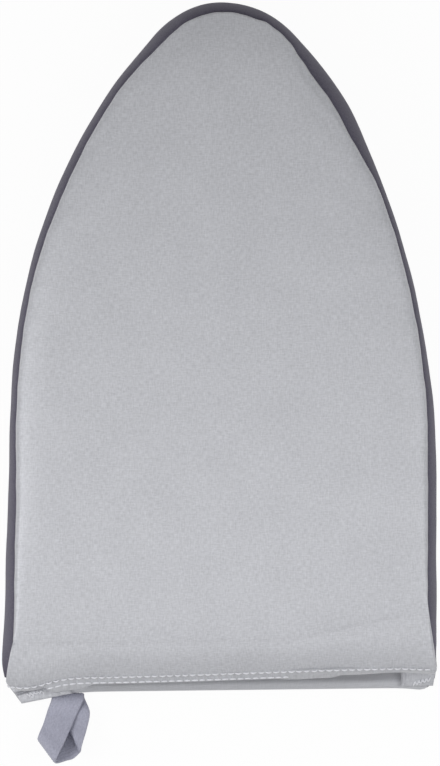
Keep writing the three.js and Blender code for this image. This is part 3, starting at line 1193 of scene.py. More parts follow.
@dataclass
class Pocket:
    """The linings that face the hand: under the pad, on the back and inside the gusset.

    The lip's profile is listed from inside out, as inset from the edge, share of the lip's rise and height
    over that.
    """

    plan: Plan
    sewn: HandSewn
    cover: PadCover
    across: int = 48
    along: int = 64
    lining_cloth: float = 0.5
    pad_skin: float = 2.0
    pad_hem: float = 1.2
    pad_above: float = 0.8
    pad_middle: float = 0.94
    pad_sag: float = 0.3
    seam_depth: float = 1.2
    lip_below: float = 0.2
    lip_rise: float = 1.4
    corner_fall: float = 0.5
    lip_profile: tuple[Point, ...] = (
        (4.4, 0.0, 0.0), (3.6, 0.8, 0.0), (2.2, 1.0, 0.0),
        (0.6, 0.9, 0.0), (0.1, 0.3, 0.0), (0.0, 0.0, -0.35),
    )
    webbing_reach: float = 9.4
    webbing_ramp: float = 2.0
    gusset_skin: float = 1.7
    gusset_gap: float = 0.3

    def lining(self, name: str, surface: Surface, node: str) -> bpy.types.Object:
        """A surface in the scene as lining cloth, in place of a frame node."""
        cloth = LINING_CLOTH.material()
        return Piece(name, surface, cloth, Slot.LINING, replaces=(node,), thickness=self.lining_cloth).place()

    def pad_lining(self) -> bpy.types.Object:
        """Make the lining under the foam, level inside the cover and sagging a little in the middle.

        Returns:
            The piece.
        """
        plan = self.cover.plan
        st = plan.round_stations(self.across, self.along)
        side = self.cover.shoulder(st)[0] + self.pad_skin
        edge = lerp(side, self.cover.rim(st)[0] + self.pad_hem, plan.mouthness(st))
        rim = st.inward(edge, plan.hem_z + self.pad_above)
        rings = np.stack([rim * [self.pad_middle, self.pad_middle, 1.0], rim])
        surface = filled(rings, self.across, self.along, crown=-self.pad_sag)
        surface.points = self.sewn.moved(surface.points)
        made = self.lining("pad_lining_cloth", surface, "pad_lining")
        return made

    def back_lining(self) -> bpy.types.Object:
        """Make the back's lining, whose hemmed edge is the lip of the mouth and steps up over the webbing.

        Returns:
            The piece.
        """
        plan = self.plan
        st = plan.round_stations(2 * self.across, self.along)
        edge = back_edge(plan, st) + self.seam_depth * (1.0 - plan.mouthness(st))
        step = plan.webbing_step(st)
        hem = np.where(st.at_mouth, self.lip_rise, 0.0) * (1.0 - self.corner_fall * plan.corner(st))
        z = plan.lip_top - self.lip_below
        reach = 1.0 + self.webbing_reach / plan.mouth_y
        share = reach + self.webbing_ramp * plan.loop_stack / plan.mouth_y
        flat = st.inward(0.0, z) * [share, share, 1.0]
        over = st.inward(0.0, z) * [reach, reach, 1.0] + np.outer(step, UP)
        lip = [st.inward(edge + inset, z + step + hem * rise + up) for inset, rise, up in self.lip_profile]
        surface = filled(np.stack([flat, over, *lip]), 2 * self.across, self.along)
        surface.points = self.sewn.moved(surface.points)
        made = self.lining("back_lining_cloth", surface, "back_lining")
        return made

    def gusset_lining(self) -> bpy.types.Object:
        """Make the lining inside the gusset, up to the pad's lining.

        Returns:
            The piece.
        """
        gusset = SideGusset(self.plan, self.sewn)
        st = self.plan.side_stations(gusset.count, gusset.toe)
        top = np.minimum(gusset.top(st)[1], self.plan.hem_z) - self.gusset_gap
        heights = [lerp(gusset.foot_z, top, share) for share in np.linspace(0.0, 1.0, gusset.rows)]
        rows = np.stack([st.inward(gusset.inset(st, z) + self.gusset_skin, z) for z in heights])
        surface = gusset.as_surface(st, self.sewn.moved(rows))
        made = self.lining("gusset_lining_cloth", surface, "gusset_lining")
        return made


UNDER_GUSSET = 2.4
UNDER_CORNER = 1.1
LOOP_RELIEF = Bulge(1.9, -62.4, 5.0)


def back_edge(plan: Plan, st: Stations) -> Array:
    """Inset of the back's edge: clear of the loop at the mouth, and in under the gusset at the sides."""
    side = lerp(UNDER_GUSSET, UNDER_CORNER, plan.corner(st))
    return lerp(side, LOOP_RELIEF.at(st.place[:, 0]), plan.mouthness(st))


@dataclass
class SideGusset:
    """The dark band between the face and the back, slack enough to bulge and pucker along both seams."""

    plan: Plan
    sewn: HandSewn
    count: int = 420
    rows: int = 17
    toe: float = 0.3
    foot_z: float = 2.2
    foot_inset: float = 2.5
    toe_rise: float = 0.4
    bunching: float = 0.5
    slack_slant: float = 9.0
    tuck_in: float = 1.4
    tuck_down: float = 1.2
    hem_in: float = 1.2
    hem_up: float = 0.3
    fullness: float = 0.62
    pucker: float = 0.16
    pucker_lengths: tuple[float, ...] = (5.7, 7.9, 11.3)
    pucker_reach: float = 0.16
    slack: float = 0.14
    slack_lengths: tuple[float, ...] = (23.0, 37.0, 61.0)
    cloth: float = 0.6

    def top(self, st: Stations) -> tuple[Array, Array]:
        """Inset and height of the front seam."""
        plan = self.plan
        return plan.side_inset(st), lerp(plan.seam_z, self.foot_z + self.toe_rise, plan.corner(st))

    def foot(self, st: Stations) -> Array:
        """Inset of the back seam."""
        return lerp(self.foot_inset, self.plan.corner_inset, self.plan.corner(st))

    def inset(self, st: Stations, z: Array) -> Array:
        """Inset of the band at a height: straight from seam to seam less a bulge that reaches the outline.

        The bulge is (4t(1 - t))^fullness of the way up t, times what the middle needs to reach the outline.

        Args:
            st: Stations round the outline.
            z: Height at each station.

        Returns:
            The inset at each station.
        """
        seam_inset, seam_z = self.top(st)
        foot = self.foot(st)
        share = np.clip((z - self.foot_z) / (seam_z - self.foot_z), 0.0, 1.0)
        middle = (foot + seam_inset) / 2.0
        return lerp(foot, seam_inset, share) - middle * (4.0 * share * (1.0 - share)) ** self.fullness

    def as_surface(self, st: Stations, rows: Array) -> Surface:
        """Join the band's rows of points as a surface that faces out.

        Args:
            st: Stations that the columns follow.
            rows: Points of each row, from the foot up.

        Returns:
            The surface.
        """
        steps = np.linalg.norm(np.diff(rows, axis=0), axis=-1)
        climb = np.concatenate([np.zeros((1, rows.shape[1])), np.cumsum(steps, axis=0)])
        run = np.broadcast_to(st.run, climb.shape)
        cloth = np.stack([run, climb], axis=-1)
        return Surface(rows.reshape(-1, 3), strip_quads(*climb.shape), cloth.reshape(-1, 2))

    def build(self) -> bpy.types.Object:
        """Make the band, with puckers that die away from the seams and slow slack waves between them.

        Returns:
            The piece.
        """
        st = self.plan.side_stations(self.count, self.toe)
        seam_inset, seam_z = self.top(st)
        even = np.linspace(0.0, 1.0, self.rows)
        tall = (seam_z - self.foot_z) / (self.plan.seam_z - self.foot_z)
        rows = []
        for share in lerp(even, smooth(even), self.bunching):
            z = lerp(self.foot_z, seam_z, share)
            at_seams = math.exp(-(1.0 - share) / self.pucker_reach) + math.exp(-share / self.pucker_reach)
            puckers = ripple(st.run, self.pucker_lengths, Seed.GUSSET_PUCKER) * self.pucker * at_seams
            between = self.slack * 4.0 * share * (1.0 - share)
            waves = ripple(st.run + self.slack_slant * share, self.slack_lengths, Seed.GUSSET_SLACK) * between
            rows.append(st.inward(self.inset(st, z) - (puckers + waves) * tall, z))
        tuck = st.inward(seam_inset + self.tuck_in, seam_z - self.tuck_down * tall)
        foot = st.inward(self.foot(st) + self.hem_in, self.foot_z + self.hem_up * tall)
        points = self.sewn.moved(np.stack([foot, *rows, tuck]))
        surface = self.as_surface(st, points)
        made = Piece("gusset_cloth", surface, GREY_CLOTH.material(), Slot.GREY,
                     replaces=("side_gusset",), thickness=self.cloth).place()
        return made


@dataclass
class BackPanel:
    """The dark cloth that the mitt lies on, turned up into the seam with the gusset and hemmed at the lip.

    The edge's profile is listed from inside out, as inset from the edge, share of the turn-up and share of
    the puckers.
    """

    plan: Plan
    sewn: HandSewn
    across: int = 72
    along: int = 84
    cloth: float = 0.6
    turn_up: float = 1.0
    pucker: float = 0.12
    lip_inset: float = 0.35
    table_gap: float = 0.05
    middle: Pair = (0.86, 0.9)
    pucker_lengths: tuple[float, ...] = (6.1, 8.3, 12.7)
    edge_profile: tuple[Point, ...] = (
        (6.0, 0.0, 0.3), (2.5, 0.0, 1.0), (0.9, 0.25, 1.0), (0.2, 0.6, 0.0), (0.0, 1.0, 0.0),
    )

    def build(self) -> bpy.types.Object:
        """Make the panel: level in the middle, turned up at its sewn edge, with small puckers along the seam.

        Returns:
            The piece.
        """
        plan = self.plan
        st = plan.round_stations(self.across, self.along)
        edge = back_edge(plan, st) + self.lip_inset * plan.mouthness(st)
        side = 1.0 - plan.mouthness(st)
        puckers = (ripple(st.run, self.pucker_lengths, Seed.BACK_PUCKER) + 1.0) * self.pucker * side
        z = self.cloth + self.table_gap
        rings = [st.inward(0.0, z) * [*self.middle, 1.0]]
        for inset, up, pucker in self.edge_profile:
            rings.append(st.inward(edge + inset, z + self.turn_up * up * side + puckers * pucker))
        surface = filled(np.stack(rings), self.across, self.along)
        surface.points = self.sewn.moved(surface.points)
        made = Piece("back_cloth", surface, GREY_CLOTH.material(), Slot.GREY,
                     replaces=("back_panel",), thickness=self.cloth).place()
        return made


@dataclass
class Hem:
    """The second fold of the cover's hem, which shows as a ridge just below the upper stitch row."""

    plan: Plan
    sewn: HandSewn
    cover: PadCover
    count: int = 170
    margin: float = 9.0
    reach: float = 2.3
    depth: float = 1.2
    drop: float = 1.0
    half_thick: float = 0.36
    section: int = 14
    squareness: float = 0.6
    reach_knots: tuple[Pair, ...] = (
        (-66.0, 0.1), (-60.0, 1.7), (-53.0, 1.8), (-45.0, 0.95), (18.0, 0.95),
        (28.0, 1.2), (40.0, 1.1), (48.0, 0.4), (62.0, 0.4), (69.0, 0.1),
    )
    tilt_knots: tuple[Pair, ...] = (
        (-66.0, 0.6), (-52.0, 1.0), (18.0, 1.0), (28.0, 2.0), (42.0, 2.0), (64.0, 1.0),
    )

    def line(self, st: Stations, out: Any, up: float) -> Array:
        """Points along the fold.

        Args:
            st: Stations along the mouth.
            out: Distance out from the upper stitch row, which the knots stretch and tilt downwards.
            up: Height over the fold's middle.

        Returns:
            The points.
        """
        inset, z = self.cover.shoulder(st)
        shown = np.maximum(out, 0.0) * eased(st.place[:, 0], self.reach_knots) + np.minimum(out, 0.0)
        tilt = eased(st.place[:, 0], self.tilt_knots)
        return st.inward(inset - shown, z - self.drop + up - tilt * shown)

    def build(self) -> bpy.types.Object:
        """Make the fold: a flat oval section carried along the cover's edge and capped at its ends.

        Returns:
            The piece.
        """
        st = self.plan.mouth_stations(self.count, self.margin)
        turn = np.linspace(0.0, math.tau, self.section, endpoint=False)
        centre = (self.reach - self.depth) / 2.0
        half = (self.reach + self.depth) / 2.0
        out = centre + half * np.copysign(np.abs(np.cos(turn)) ** self.squareness, np.cos(turn))
        up = self.half_thick * np.sin(turn)
        rows = self.sewn.moved(np.stack([self.line(st, *at) for at in zip(out, up)]))
        run = np.broadcast_to(st.run, rows.shape[:2])
        width = np.broadcast_to((turn * half / math.pi * 2.0)[:, None], rows.shape[:2])
        first = np.arange(self.section) * self.count
        surface = Surface(
            points=rows.reshape(-1, 3),
            quads=strip_quads(self.section, self.count, rows_close=True),
            cloth=np.stack([run, width], axis=-1).reshape(-1, 2),
            caps=[first[::-1].tolist(), (first + self.count - 1).tolist()],
        )
        return Piece("hem_fold", surface, SILVER_CLOTH.material(), Slot.SILVER).place()


@dataclass(frozen=True)
class HemTab:
    """A folded end of the hem, sewn flat on the lip at one mouth corner.

    Attributes:
        name: Name of the piece.
        outer_top: Corner at the outline, under the cover.
        outer_lip: Corner at the outline, on the lip's edge.
        inner_lip: Corner nearer the middle, on the lip's edge.
        inner_top: Corner nearer the middle, under the cover.
        tack_from: Where its bar tack begins, as shares along the tab and down it.
        tack_to: Where its bar tack ends.
    """

    name: str
    outer_top: Point
    outer_lip: Point
    inner_lip: Point
    inner_top: Point
    tack_from: Pair
    tack_to: Pair
    half_thick: float = 0.55
    steps: int = 40
    section: int = 64
    end_round: float = 0.07
    end_thin: float = 0.9
    wrinkle: float = 0.22
    wrinkle_lengths: tuple[float, ...] = (2.3, 3.7, 6.1)
    wrinkle_slant: float = 3.0
    ridge: float = 0.0
    ridge_at: float = 0.92
    ridge_reach: float = 0.05
    crease: float = 0.0
    crease_from: float = 0.48
    crease_to: float = -0.05
    crease_reach: float = 0.06

    def at(self, along: Array, down: Array) -> Array:
        """Points of the tab's middle sheet, which is ruled both ways between its corners.

        Args:
            along: Shares of the way from the outer end to the inner one.
            down: Shares of the way from the cover to the lip's edge.

        Returns:
            The points.
        """
        top = lerp(np.array(self.outer_top), np.array(self.inner_top), along[..., None])
        lip = lerp(np.array(self.outer_lip), np.array(self.inner_lip), along[..., None])
        return lerp(top, lip, down[..., None])

    def build(self) -> bpy.types.Object:
        """Make the tab: a flat oval section between its corners, thinner at its two ends, with soft wrinkles.

        At a reach r from -1 to 1 across it, the section lies half_thick * sqrt(1 - r^4) over and under the
        middle sheet. A ridge crosses the tab as a bell, and a crease runs slanting along it as one.

        Returns:
            The piece.
        """
        along = np.linspace(0.0, 1.0, self.steps)[:, None]
        turn = np.linspace(0.0, 4.0, self.section, endpoint=False)[None, :]
        reach = np.abs(turn - 2.0) - 1.0
        down = 0.5 + 0.5 * reach
        rise = np.where(turn < 2.0, 1.0, -1.0) * np.sqrt(1.0 - reach**4)
        ends = np.minimum(along, 1.0 - along) / self.end_round
        thick = self.half_thick * np.sqrt(1.0 - np.clip(1.0 - ends, 0.0, self.end_thin) ** 2)
        along, down = np.broadcast_arrays(along, down)
        rows = self.at(along, down)
        run = np.linalg.norm(rows - rows[:1], axis=-1)
        wrinkles = ripple(run + self.wrinkle_slant * down, self.wrinkle_lengths, Seed.TAB_WRINKLE)
        crease_at = lerp(self.crease_from, self.crease_to, along)
        rows[..., 2] += thick * rise + self.wrinkle * wrinkles
        rows[..., 2] += self.ridge * bell(along - self.ridge_at, self.ridge_reach)
        rows[..., 2] -= self.crease * bell(down - crease_at, self.crease_reach)
        first = np.arange(self.section)
        surface = Surface(
            points=rows.reshape(-1, 3),
            quads=strip_quads(self.steps, self.section, columns_close=True),
            cloth=rows[..., :2].reshape(-1, 2),
            caps=[first[::-1].tolist(), (first + (self.steps - 1) * self.section).tolist()],
        )
        return Piece(self.name, surface, SILVER_CLOTH.material(), Slot.SILVER).place()


LEFT_TAB = HemTab(
    name="left_hem_tab",
    outer_top=(-78.2, -125.4, 4.2), outer_lip=(-73.4, -131.8, 4.6),
    inner_lip=(-54.5, -127.9, 7.9), inner_top=(-56.5, -123.8, 6.5),
    tack_from=(0.205, 0.62), tack_to=(0.505, 0.5), crease=2.0,
)
RIGHT_TAB = HemTab(
    name="right_hem_tab",
    outer_top=(80.0, -118.8, 6.0), outer_lip=(78.9, -125.2, 3.8),
    inner_lip=(67.0, -125.6, 4.0), inner_top=(67.0, -118.8, 6.0),
    tack_from=(0.12, 0.62), tack_to=(0.62, 0.86), ridge=0.9,
)


@dataclass
class WebbingLoop:
    """The hanging loop of ribbed webbing, with its sewn ends.

    The loop is ruled between its two edges, which are given from the root. Both go out on top, turn over
    the slanting bend, run low under it to a second fold and come back below, so that the loop is seen into
    from above.
    """

    plan: Plan
    width: float = 12.0
    webbing: float = 1.0
    root_gap: float = 0.8
    ribs: int = 11
    rib_depth: float = 0.06
    steps: int = 200
    columns: int = 45
    ends_length: float = 9.0
    ends_overhang: float = 0.15
    edge_power: int = 14
    ends_rows: int = 12
    right_edge: tuple[Point, ...] = (
        (6.0, 0.9, 0.0), (6.0, 0.0, 0.9), (2.6, -8.1, 3.2), (-1.2, -16.7, 7.6), (-4.1, -22.8, 10.2),
        (-4.3, -24.2, 8.4), (-0.4, -23.5, 5.0), (2.7, -22.3, 3.8), (4.0, -21.1, 3.4), (4.9, -19.3, 6.6),
        (5.4, -17.4, 6.3), (7.0, -11.9, 4.2), (8.1, -5.6, 2.3), (6.0, 0.0, -0.9),
    )
    left_edge: tuple[Point, ...] = (
        (-6.0, 0.9, 0.0), (-6.0, 0.0, 0.9), (-7.6, -5.1, 1.6), (-9.3, -10.4, 3.2), (-10.9, -14.3, 4.2),
        (-11.1, -15.5, 1.6), (-7.0, -14.6, -1.6), (-1.2, -11.8, -2.0), (0.4, -11.6, -1.8), (0.4, -10.9, 2.4),
        (0.0, -10.2, 2.1), (-1.9, -7.6, 0.3), (-4.3, -4.0, -1.0), (-6.0, 0.0, -0.9),
    )

    @property
    def root_radius(self) -> float:
        """Radius of the webbing's middle round its root."""
        return (self.webbing + self.root_gap) / 2.0

    @property
    def root(self) -> Array:
        """The middle of the root, on the hinge's axis."""
        return np.array(frame["joints"][0]["pos_m"]) / MM

    def section(self) -> tuple[Array, Array]:
        """The webbing's section, ribbed by a cosine on both faces, with edges rounded as sqrt(1 - s^14).

        Returns:
            Width and height of points round it.
        """
        share = np.linspace(-1.0, 1.0, self.columns)
        edge = np.sqrt(np.clip(1.0 - np.abs(share) ** self.edge_power, 0.0, 1.0))
        ribs = self.rib_depth * np.cos(math.tau * self.ribs * (share + 1.0) / 2.0)
        high = (self.webbing / 2.0 + ribs) * edge
        width = share * self.width / 2.0
        return np.concatenate([width, width[-2:0:-1]]), np.concatenate([high, -high[-2:0:-1]])

    def build(self) -> bpy.types.Object:
        """Make the closed loop: the ribbed section carried round between the two edges.

        Returns:
            The piece.
        """
        knots = np.concatenate([np.array(self.right_edge), np.array(self.left_edge)], axis=1)
        edges = closed_curve(knots, self.steps)
        right, left = edges[:, :3], edges[:, 3:]
        width, high = self.section()
        share = (width / self.width + 0.5)[None, :, None]
        middle = lerp(left[:, None], right[:, None], share)
        ahead = np.roll(middle, -1, axis=0) - np.roll(middle, 1, axis=0)
        out = np.cross(np.broadcast_to((right - left)[:, None], ahead.shape), ahead)
        out /= np.linalg.norm(out, axis=-1, keepdims=True)
        rows = self.root + middle + out * high[None, :, None]
        steps = np.linalg.norm(np.diff(middle[:, 0], axis=0), axis=1)
        run = np.concatenate([[0.0], np.cumsum(steps)])[:, None]
        cloth = np.stack(np.broadcast_arrays(width[None, :], run), axis=-1)
        quads = strip_quads(*rows.shape[:2], rows_close=True, columns_close=True)
        surface = Surface(rows.reshape(-1, 3), quads, cloth.reshape(-1, 2))
        piece = Piece("webbing_loop", surface, WEBBING.material(), Slot.WEBBING, Body.LOOP, ("hanging_loop",))
        return piece.place()

    def build_ends(self) -> bpy.types.Object:
        """Make the two sewn ends of the webbing, one on the other between the back and its lining.

        Returns:
            The piece.
        """
        width, high = self.section()
        y = np.linspace(-self.ends_overhang, self.ends_length, self.ends_rows)
        strands = []
        for level in (-1.0, 1.0):
            z = self.root[2] + level * self.root_radius
            rows = np.stack(np.broadcast_arrays(
                self.root[0] + width[None, :], self.plan.mouth_y + y[:, None], z + high[None, :]
            ), axis=-1)
            strands.append(rows)
        count = len(width)
        each = len(y) * count
        quads = strip_quads(len(y), count, columns_close=True)[:, ::-1]
        ring = np.arange(count)
        flat = np.stack(np.broadcast_arrays(width[None, :], y[:, None]), axis=-1)
        surface = Surface(
            points=np.concatenate([rows.reshape(-1, 3) for rows in strands]),
            quads=np.concatenate([quads, quads + each]),
            cloth=np.tile(flat.reshape(-1, 2), (2, 1)),
            caps=[
                (end[::flip] + start).tolist()
                for start in (0, each)
                for end, flip in ((ring, 1), (ring + each - count, -1))
            ],
        )
        piece = Piece("webbing_ends", surface, WEBBING.material(), Slot.WEBBING, replaces=("loop_ends",))
        return piece.place()


@dataclass
class Stitching:
    """Rows of lockstitches in pale thread, and the bar tacks at the ends of the mouth."""

    plan: Plan
    sewn: HandSewn
    cover: PadCover
    hem: Hem
    pitch: float = 2.8
    stitch: float = 2.35
    thread: float = 0.32
    arch: float = 0.25
    rings: int = 7
    sides: int = 7
    row_share: float = 0.3
    row_gap: float = 1.65
    row_margin: float = 3.2
    left_run_out: Pair = (-2.6, 0.1)
    right_run_out: Pair = (2.6, 0.3)
    run_out_points: int = 20
    tack_stitches: int = 9
    tack_half: float = 0.13
    sink: float = 0.6
    thin_end: float = 0.55
    taper: float = 0.6
    first_hole: float = 0.1
    unevenness: float = 0.12
    line_points: int = 400
    ray_above: float = 50.0
    fold_margin: float = 8.0
    fold_span: Pair = (-64.0, 26.0)

    def threads(self, starts: Array, ends: Array, up: Array) -> Surface:
        """Threads that arch from one hole to the next.

        Each is a tube whose middle rises as a half sine over the cloth and whose ends dip into it.

        Args:
            starts: Where each thread comes out of the cloth.
            ends: Where each goes back in.
            up: Direction out of the cloth at each thread.

        Returns:
            All the threads as one surface.
        """
        count = len(starts)
        ahead = ends - starts
        ahead /= np.linalg.norm(ahead, axis=1, keepdims=True)
        side = np.cross(up, ahead)
        side /= np.linalg.norm(side, axis=1, keepdims=True)
        rise = np.cross(ahead, side)
        share = np.linspace(0.0, 1.0, self.rings)
        turn = np.linspace(0.0, math.tau, self.sides, endpoint=False)
        bow = np.sin(math.pi * share)
        height = self.arch * bow - self.thread * self.sink * (1.0 - bow)
        radius = self.thread * lerp(self.thin_end, 1.0, np.maximum(bow, 0.0) ** self.taper)
        straight = lerp(starts[:, None], ends[:, None], share[None, :, None])
        middle = straight + rise[:, None] * height[None, :, None]
        ring = side[:, None] * np.cos(turn)[None, :, None] + rise[:, None] * np.sin(turn)[None, :, None]
        points = middle[:, :, None] + ring[:, None] * radius[None, :, None, None]
        one = strip_quads(self.rings, self.sides, columns_close=True)[:, ::-1]
        each = self.rings * self.sides
        offsets = np.arange(count) * each
        first = np.arange(self.sides)
        last = first + each - self.sides
        caps = [(cap + offset).tolist() for offset in offsets for cap in (first, last[::-1])]
        along, around = share[:, None] * self.stitch, (turn * self.thread)[None, :]
        cloth = np.stack(np.broadcast_arrays(along, around), axis=-1)
        return Surface(
            points=points.reshape(-1, 3),
            quads=(one[None] + offsets[:, None, None]).reshape(-1, 4),
            cloth=np.tile(cloth.reshape(-1, 2), (count, 1)),
            caps=caps,
        )

    def row(self, name: str, line: Array, up: Array) -> bpy.types.Object:
        """Sew a row along a line of points.

        Args:
            name: Name of the row.
            line: Points that the row follows.
            up: Direction out of the cloth at each point.

        Returns:
            The piece.
        """
        run = np.concatenate([[0.0], np.cumsum(np.linalg.norm(np.diff(line, axis=0), axis=1))])
        count = int(run[-1] / self.pitch)
        begin = (np.arange(count) + self.first_hole) * self.pitch
        draw = np.random.default_rng(Seed.STITCH.value)
        jitter = draw.uniform(-self.unevenness, self.unevenness, (2, count))
        starts, ends = (
            np.column_stack([np.interp(at, run, line[:, k]) for k in range(3)])
            for at in (begin + jitter[0], begin + self.stitch + jitter[1])
        )
        out = np.column_stack([np.interp(begin + self.stitch / 2.0, run, up[:, k]) for k in range(3)])
        return Piece(name, self.threads(starts, ends, out), THREAD.material(), Slot.WEBBING).place()

    def on_cover(self, flat: Array, cover: Surface) -> Array:
        """Points of the cover straight above or below points of the plan.

        Args:
            flat: x and y of each point.
            cover: The cover's surface as sewn.

        Returns:
            The highest point of the cover at each place, or z = 0 beside it.
        """
        tree = BVHTree.FromPolygons(cover.points.tolist(), cover.quads.tolist())
        high = self.plan.face_top + self.ray_above
        hits = [tree.ray_cast((x, y, high), (0.0, 0.0, -1.0))[0] for x, y in flat.tolist()]
        return np.array([hit if hit else (x, y, 0.0) for hit, (x, y) in zip(hits, flat.tolist())])

    def hem_row(self, cover: Surface) -> bpy.types.Object:
        """The upper row, on the cover's hem and out to the outline at both corners.

        Args:
            cover: The cover's surface as sewn.

        Returns:
            The piece.
        """
        st = self.plan.mouth_stations(self.line_points, self.row_margin)
        rolled = self.sewn.moved(self.cover.rolled(st))
        line = lerp(rolled[-1], rolled[-2], self.row_share)
        up = np.cross(np.gradient(line, axis=0), rolled[-2] - rolled[-1])
        up /= np.linalg.norm(up, axis=1, keepdims=True)
        share = np.linspace(0.0, 1.0, self.run_out_points + 1)[1:]
        left = self.on_cover(line[0, :2] + np.outer(share[::-1], self.left_run_out), cover)
        right = self.on_cover(line[-1, :2] + np.outer(share, self.right_run_out), cover)
        ends = np.tile(UP, (self.run_out_points, 1))
        return self.row("hem_stitches", np.concatenate([left, line, right]), np.concatenate([ends, up, ends]))

    def bar_tack(self, tab: HemTab, name: str) -> bpy.types.Object:
        """Sew close zigzag stitches that hold a hem tab to the lip.

        Args:
            tab: The tab.
            name: Name of the stitches.

        Returns:
            The piece.
        """
        share = np.linspace(0.0, 1.0, self.tack_stitches + 1)
        along, down = (lerp(first, last, share) for first, last in zip(tab.tack_from, tab.tack_to))
        side = np.where(np.arange(len(share)) % 2 == 0, -1.0, 1.0) * self.tack_half
        points = tab.at(along, down + side)
        points[:, 2] += tab.half_thick
        up = np.tile(UP, (self.tack_stitches, 1))
        return Piece(name, self.threads(points[:-1], points[1:], up), THREAD.material(), Slot.WEBBING).place()

    def fold_row(self) -> bpy.types.Object:
        """Sew the lower row, on the second fold, which runs out to the right of the middle.

        Returns:
            The piece.
        """
        st = self.plan.mouth_stations(self.line_points, self.fold_margin)
        out = self.row_gap / eased(st.place[:, 0], self.hem.reach_knots)
        line = self.sewn.moved(self.hem.line(st, out, self.hem.half_thick))
        first, last = self.fold_span
        line = line[(line[:, 0] > first) & (line[:, 0] < last)]
        return self.row("fold_stitches", line, np.tile(UP, (len(line), 1)))


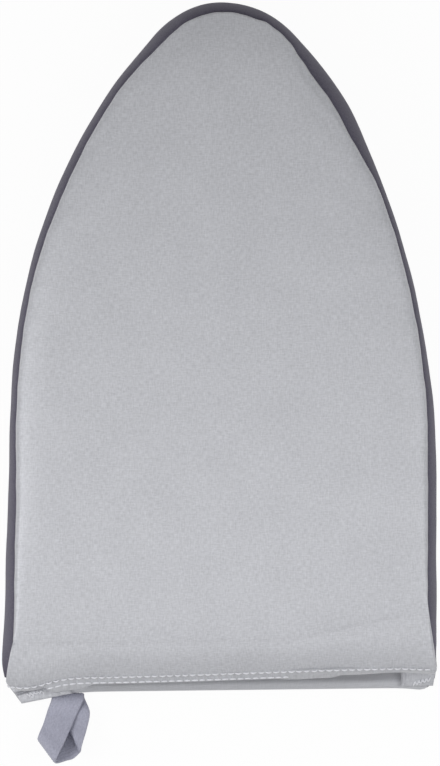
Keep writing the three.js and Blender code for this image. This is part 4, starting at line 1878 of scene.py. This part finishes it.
@dataclass
class Studio:
    """Plain pale floor, soft light that comes more from the mouth end, and a camera square above the face."""

    scale_px_per_mm: float = 2.71
    sensor: float = 36.0
    camera_far: float = 3000.0
    camera_y: float = -13.1
    aimed_z: float = 15.0
    floor_half: float = 3.0
    floor_drop: float = 0.2
    floor_glow: float = 0.96
    top_watts: float = 0.22
    top_at: Point = (0.03, -0.12, 0.36)
    left_watts: float = 1.2
    right_watts: float = 0.73
    side_at: Point = (0.42, -0.13, 0.4)
    lamp_size: float = 0.25
    ambient: float = 0.3
    paper: str = "#f6f6f6"
    white: str = "#ffffff"

    def camera(self) -> None:
        """A long lens straight down, which shows the photograph's height at its scale."""
        data = bpy.data.cameras.new("camera")
        data.sensor_width = self.sensor
        data.lens = self.sensor * self.camera_far / (PHOTO_HEIGHT_PX / self.scale_px_per_mm)
        data.clip_end = 2.0 * self.camera_far * MM
        made = bpy.data.objects.new("camera", data)
        made.location = (0.0, self.camera_y * MM, (self.camera_far + self.aimed_z) * MM)
        bpy.context.scene.collection.objects.link(made)
        bpy.context.scene.camera = made

    def lamp(self, name: str, at: Point, watts: float) -> None:
        """Hang a soft square lamp, turned straight across towards the mitt's middle line.

        Args:
            name: Name of the lamp.
            at: Where it is, in metres.
            watts: Its power.
        """
        data = bpy.data.lights.new(name, "AREA")
        data.energy = watts
        data.size = self.lamp_size
        made = bpy.data.objects.new(name, data)
        made.location = at
        made.rotation_euler = Vector((at[0], 0.0, at[2])).to_track_quat("Z", "Y").to_euler()
        bpy.context.scene.collection.objects.link(made)

    def lamps(self) -> None:
        """A lamp to each side and a weak one above, all nearer the mouth than the tip."""
        x, y, z = self.side_at
        self.lamp("left", (-x, y, z), self.left_watts)
        self.lamp("right", (x, y, z), self.right_watts)
        self.lamp("top", self.top_at, self.top_watts)

    def seen_directly(self, tree: bpy.types.NodeTree) -> bpy.types.NodeSocket:
        """Tell what is seen directly from the light on other surfaces.

        Args:
            tree: Node tree of a material or the world.

        Returns:
            1 for what the camera, a gloss or a clear piece shows, 0 otherwise.
        """
        path = add_node(tree, "ShaderNodeLightPath", {}, {})
        seen = path.outputs["Is Camera Ray"]
        for other in ("Is Glossy Ray", "Is Transmission Ray"):
            either = {0: seen, 1: path.outputs[other]}
            seen = add_node(tree, "ShaderNodeMath", {"operation": "MAXIMUM"}, either).outputs[0]
        return seen

    def floor(self) -> bpy.types.Object:
        """Lay a pale floor that shows white and keeps the object's shadow.

        Returns:
            The floor.
        """
        half = self.floor_half / MM
        corners = np.array([[-half, -half], [half, -half], [half, half], [-half, half]])
        points = np.column_stack([corners, np.full(4, -self.floor_drop)])
        made = Surface(points, np.array([[0, 1, 2, 3]]), corners).piece("floor")
        material = bpy.data.materials.new("white_paper_floor")
        material.use_nodes = True
        tree = material.node_tree
        tree.nodes.clear()
        paper = add_node(tree, "ShaderNodeBsdfDiffuse", {}, {"Color": linear(self.paper)})
        glow = add_node(tree, "ShaderNodeEmission", {}, {"Color": linear(self.white), "Strength": 1.0})
        shown = {0: self.seen_directly(tree), 1: self.floor_glow}
        share = add_node(tree, "ShaderNodeMath", {"operation": "MULTIPLY"}, shown)
        shaders = {0: share.outputs[0], 1: paper.outputs["BSDF"], 2: glow.outputs["Emission"]}
        mixed = add_node(tree, "ShaderNodeMixShader", {}, shaders)
        add_node(tree, "ShaderNodeOutputMaterial", {}, {"Surface": mixed.outputs["Shader"]})
        made.data.materials.append(material)
        return made

    def world(self) -> None:
        """Even light from all round, and white where it is seen directly."""
        world = bpy.data.worlds.new("studio")
        world.use_nodes = True
        tree = world.node_tree
        tree.nodes.clear()
        levels = {"Value": self.seen_directly(tree), "To Min": self.ambient, "To Max": 1.0}
        strength = add_node(tree, "ShaderNodeMapRange", {}, levels)
        light = {"Color": linear(self.white), "Strength": strength.outputs[0]}
        back = add_node(tree, "ShaderNodeBackground", {}, light)
        add_node(tree, "ShaderNodeOutputWorld", {}, {"Surface": back.outputs["Background"]})
        bpy.context.scene.world = world

    def build(self) -> None:
        """Set the camera, the floor, the lamps and the world."""
        self.camera()
        self.floor()
        self.lamps()
        self.world()
        bpy.context.scene.view_settings.view_transform = "Standard"


def main() -> None:
    """Build the studio and every piece of the mitt in order."""
    logging.basicConfig(level=logging.INFO, format="%(message)s")
    Studio().build()
    plan = Plan.from_frame()
    sewn = HandSewn()
    cover = PadCover(plan.set_back(COVER_SETBACK, COVER_CORNER), sewn)
    hem = Hem(cover.plan, sewn, cover)
    pocket = Pocket(plan, sewn, cover)
    loop = WebbingLoop(plan)
    stitching = Stitching(cover.plan, sewn, cover, hem)
    cover.build()
    FoamCore(cover.plan, sewn, cover).build()
    SideGusset(plan, sewn).build()
    BackPanel(plan, sewn).build()
    pocket.pad_lining()
    pocket.back_lining()
    pocket.gusset_lining()
    hem.build()
    LEFT_TAB.build()
    RIGHT_TAB.build()
    loop.build()
    loop.build_ends()
    stitching.hem_row(cover.surface())
    stitching.fold_row()
    stitching.bar_tack(LEFT_TAB, "left_bar_tack")
    stitching.bar_tack(RIGHT_TAB, "right_bar_tack")


if __name__ == "__main__":
    main()
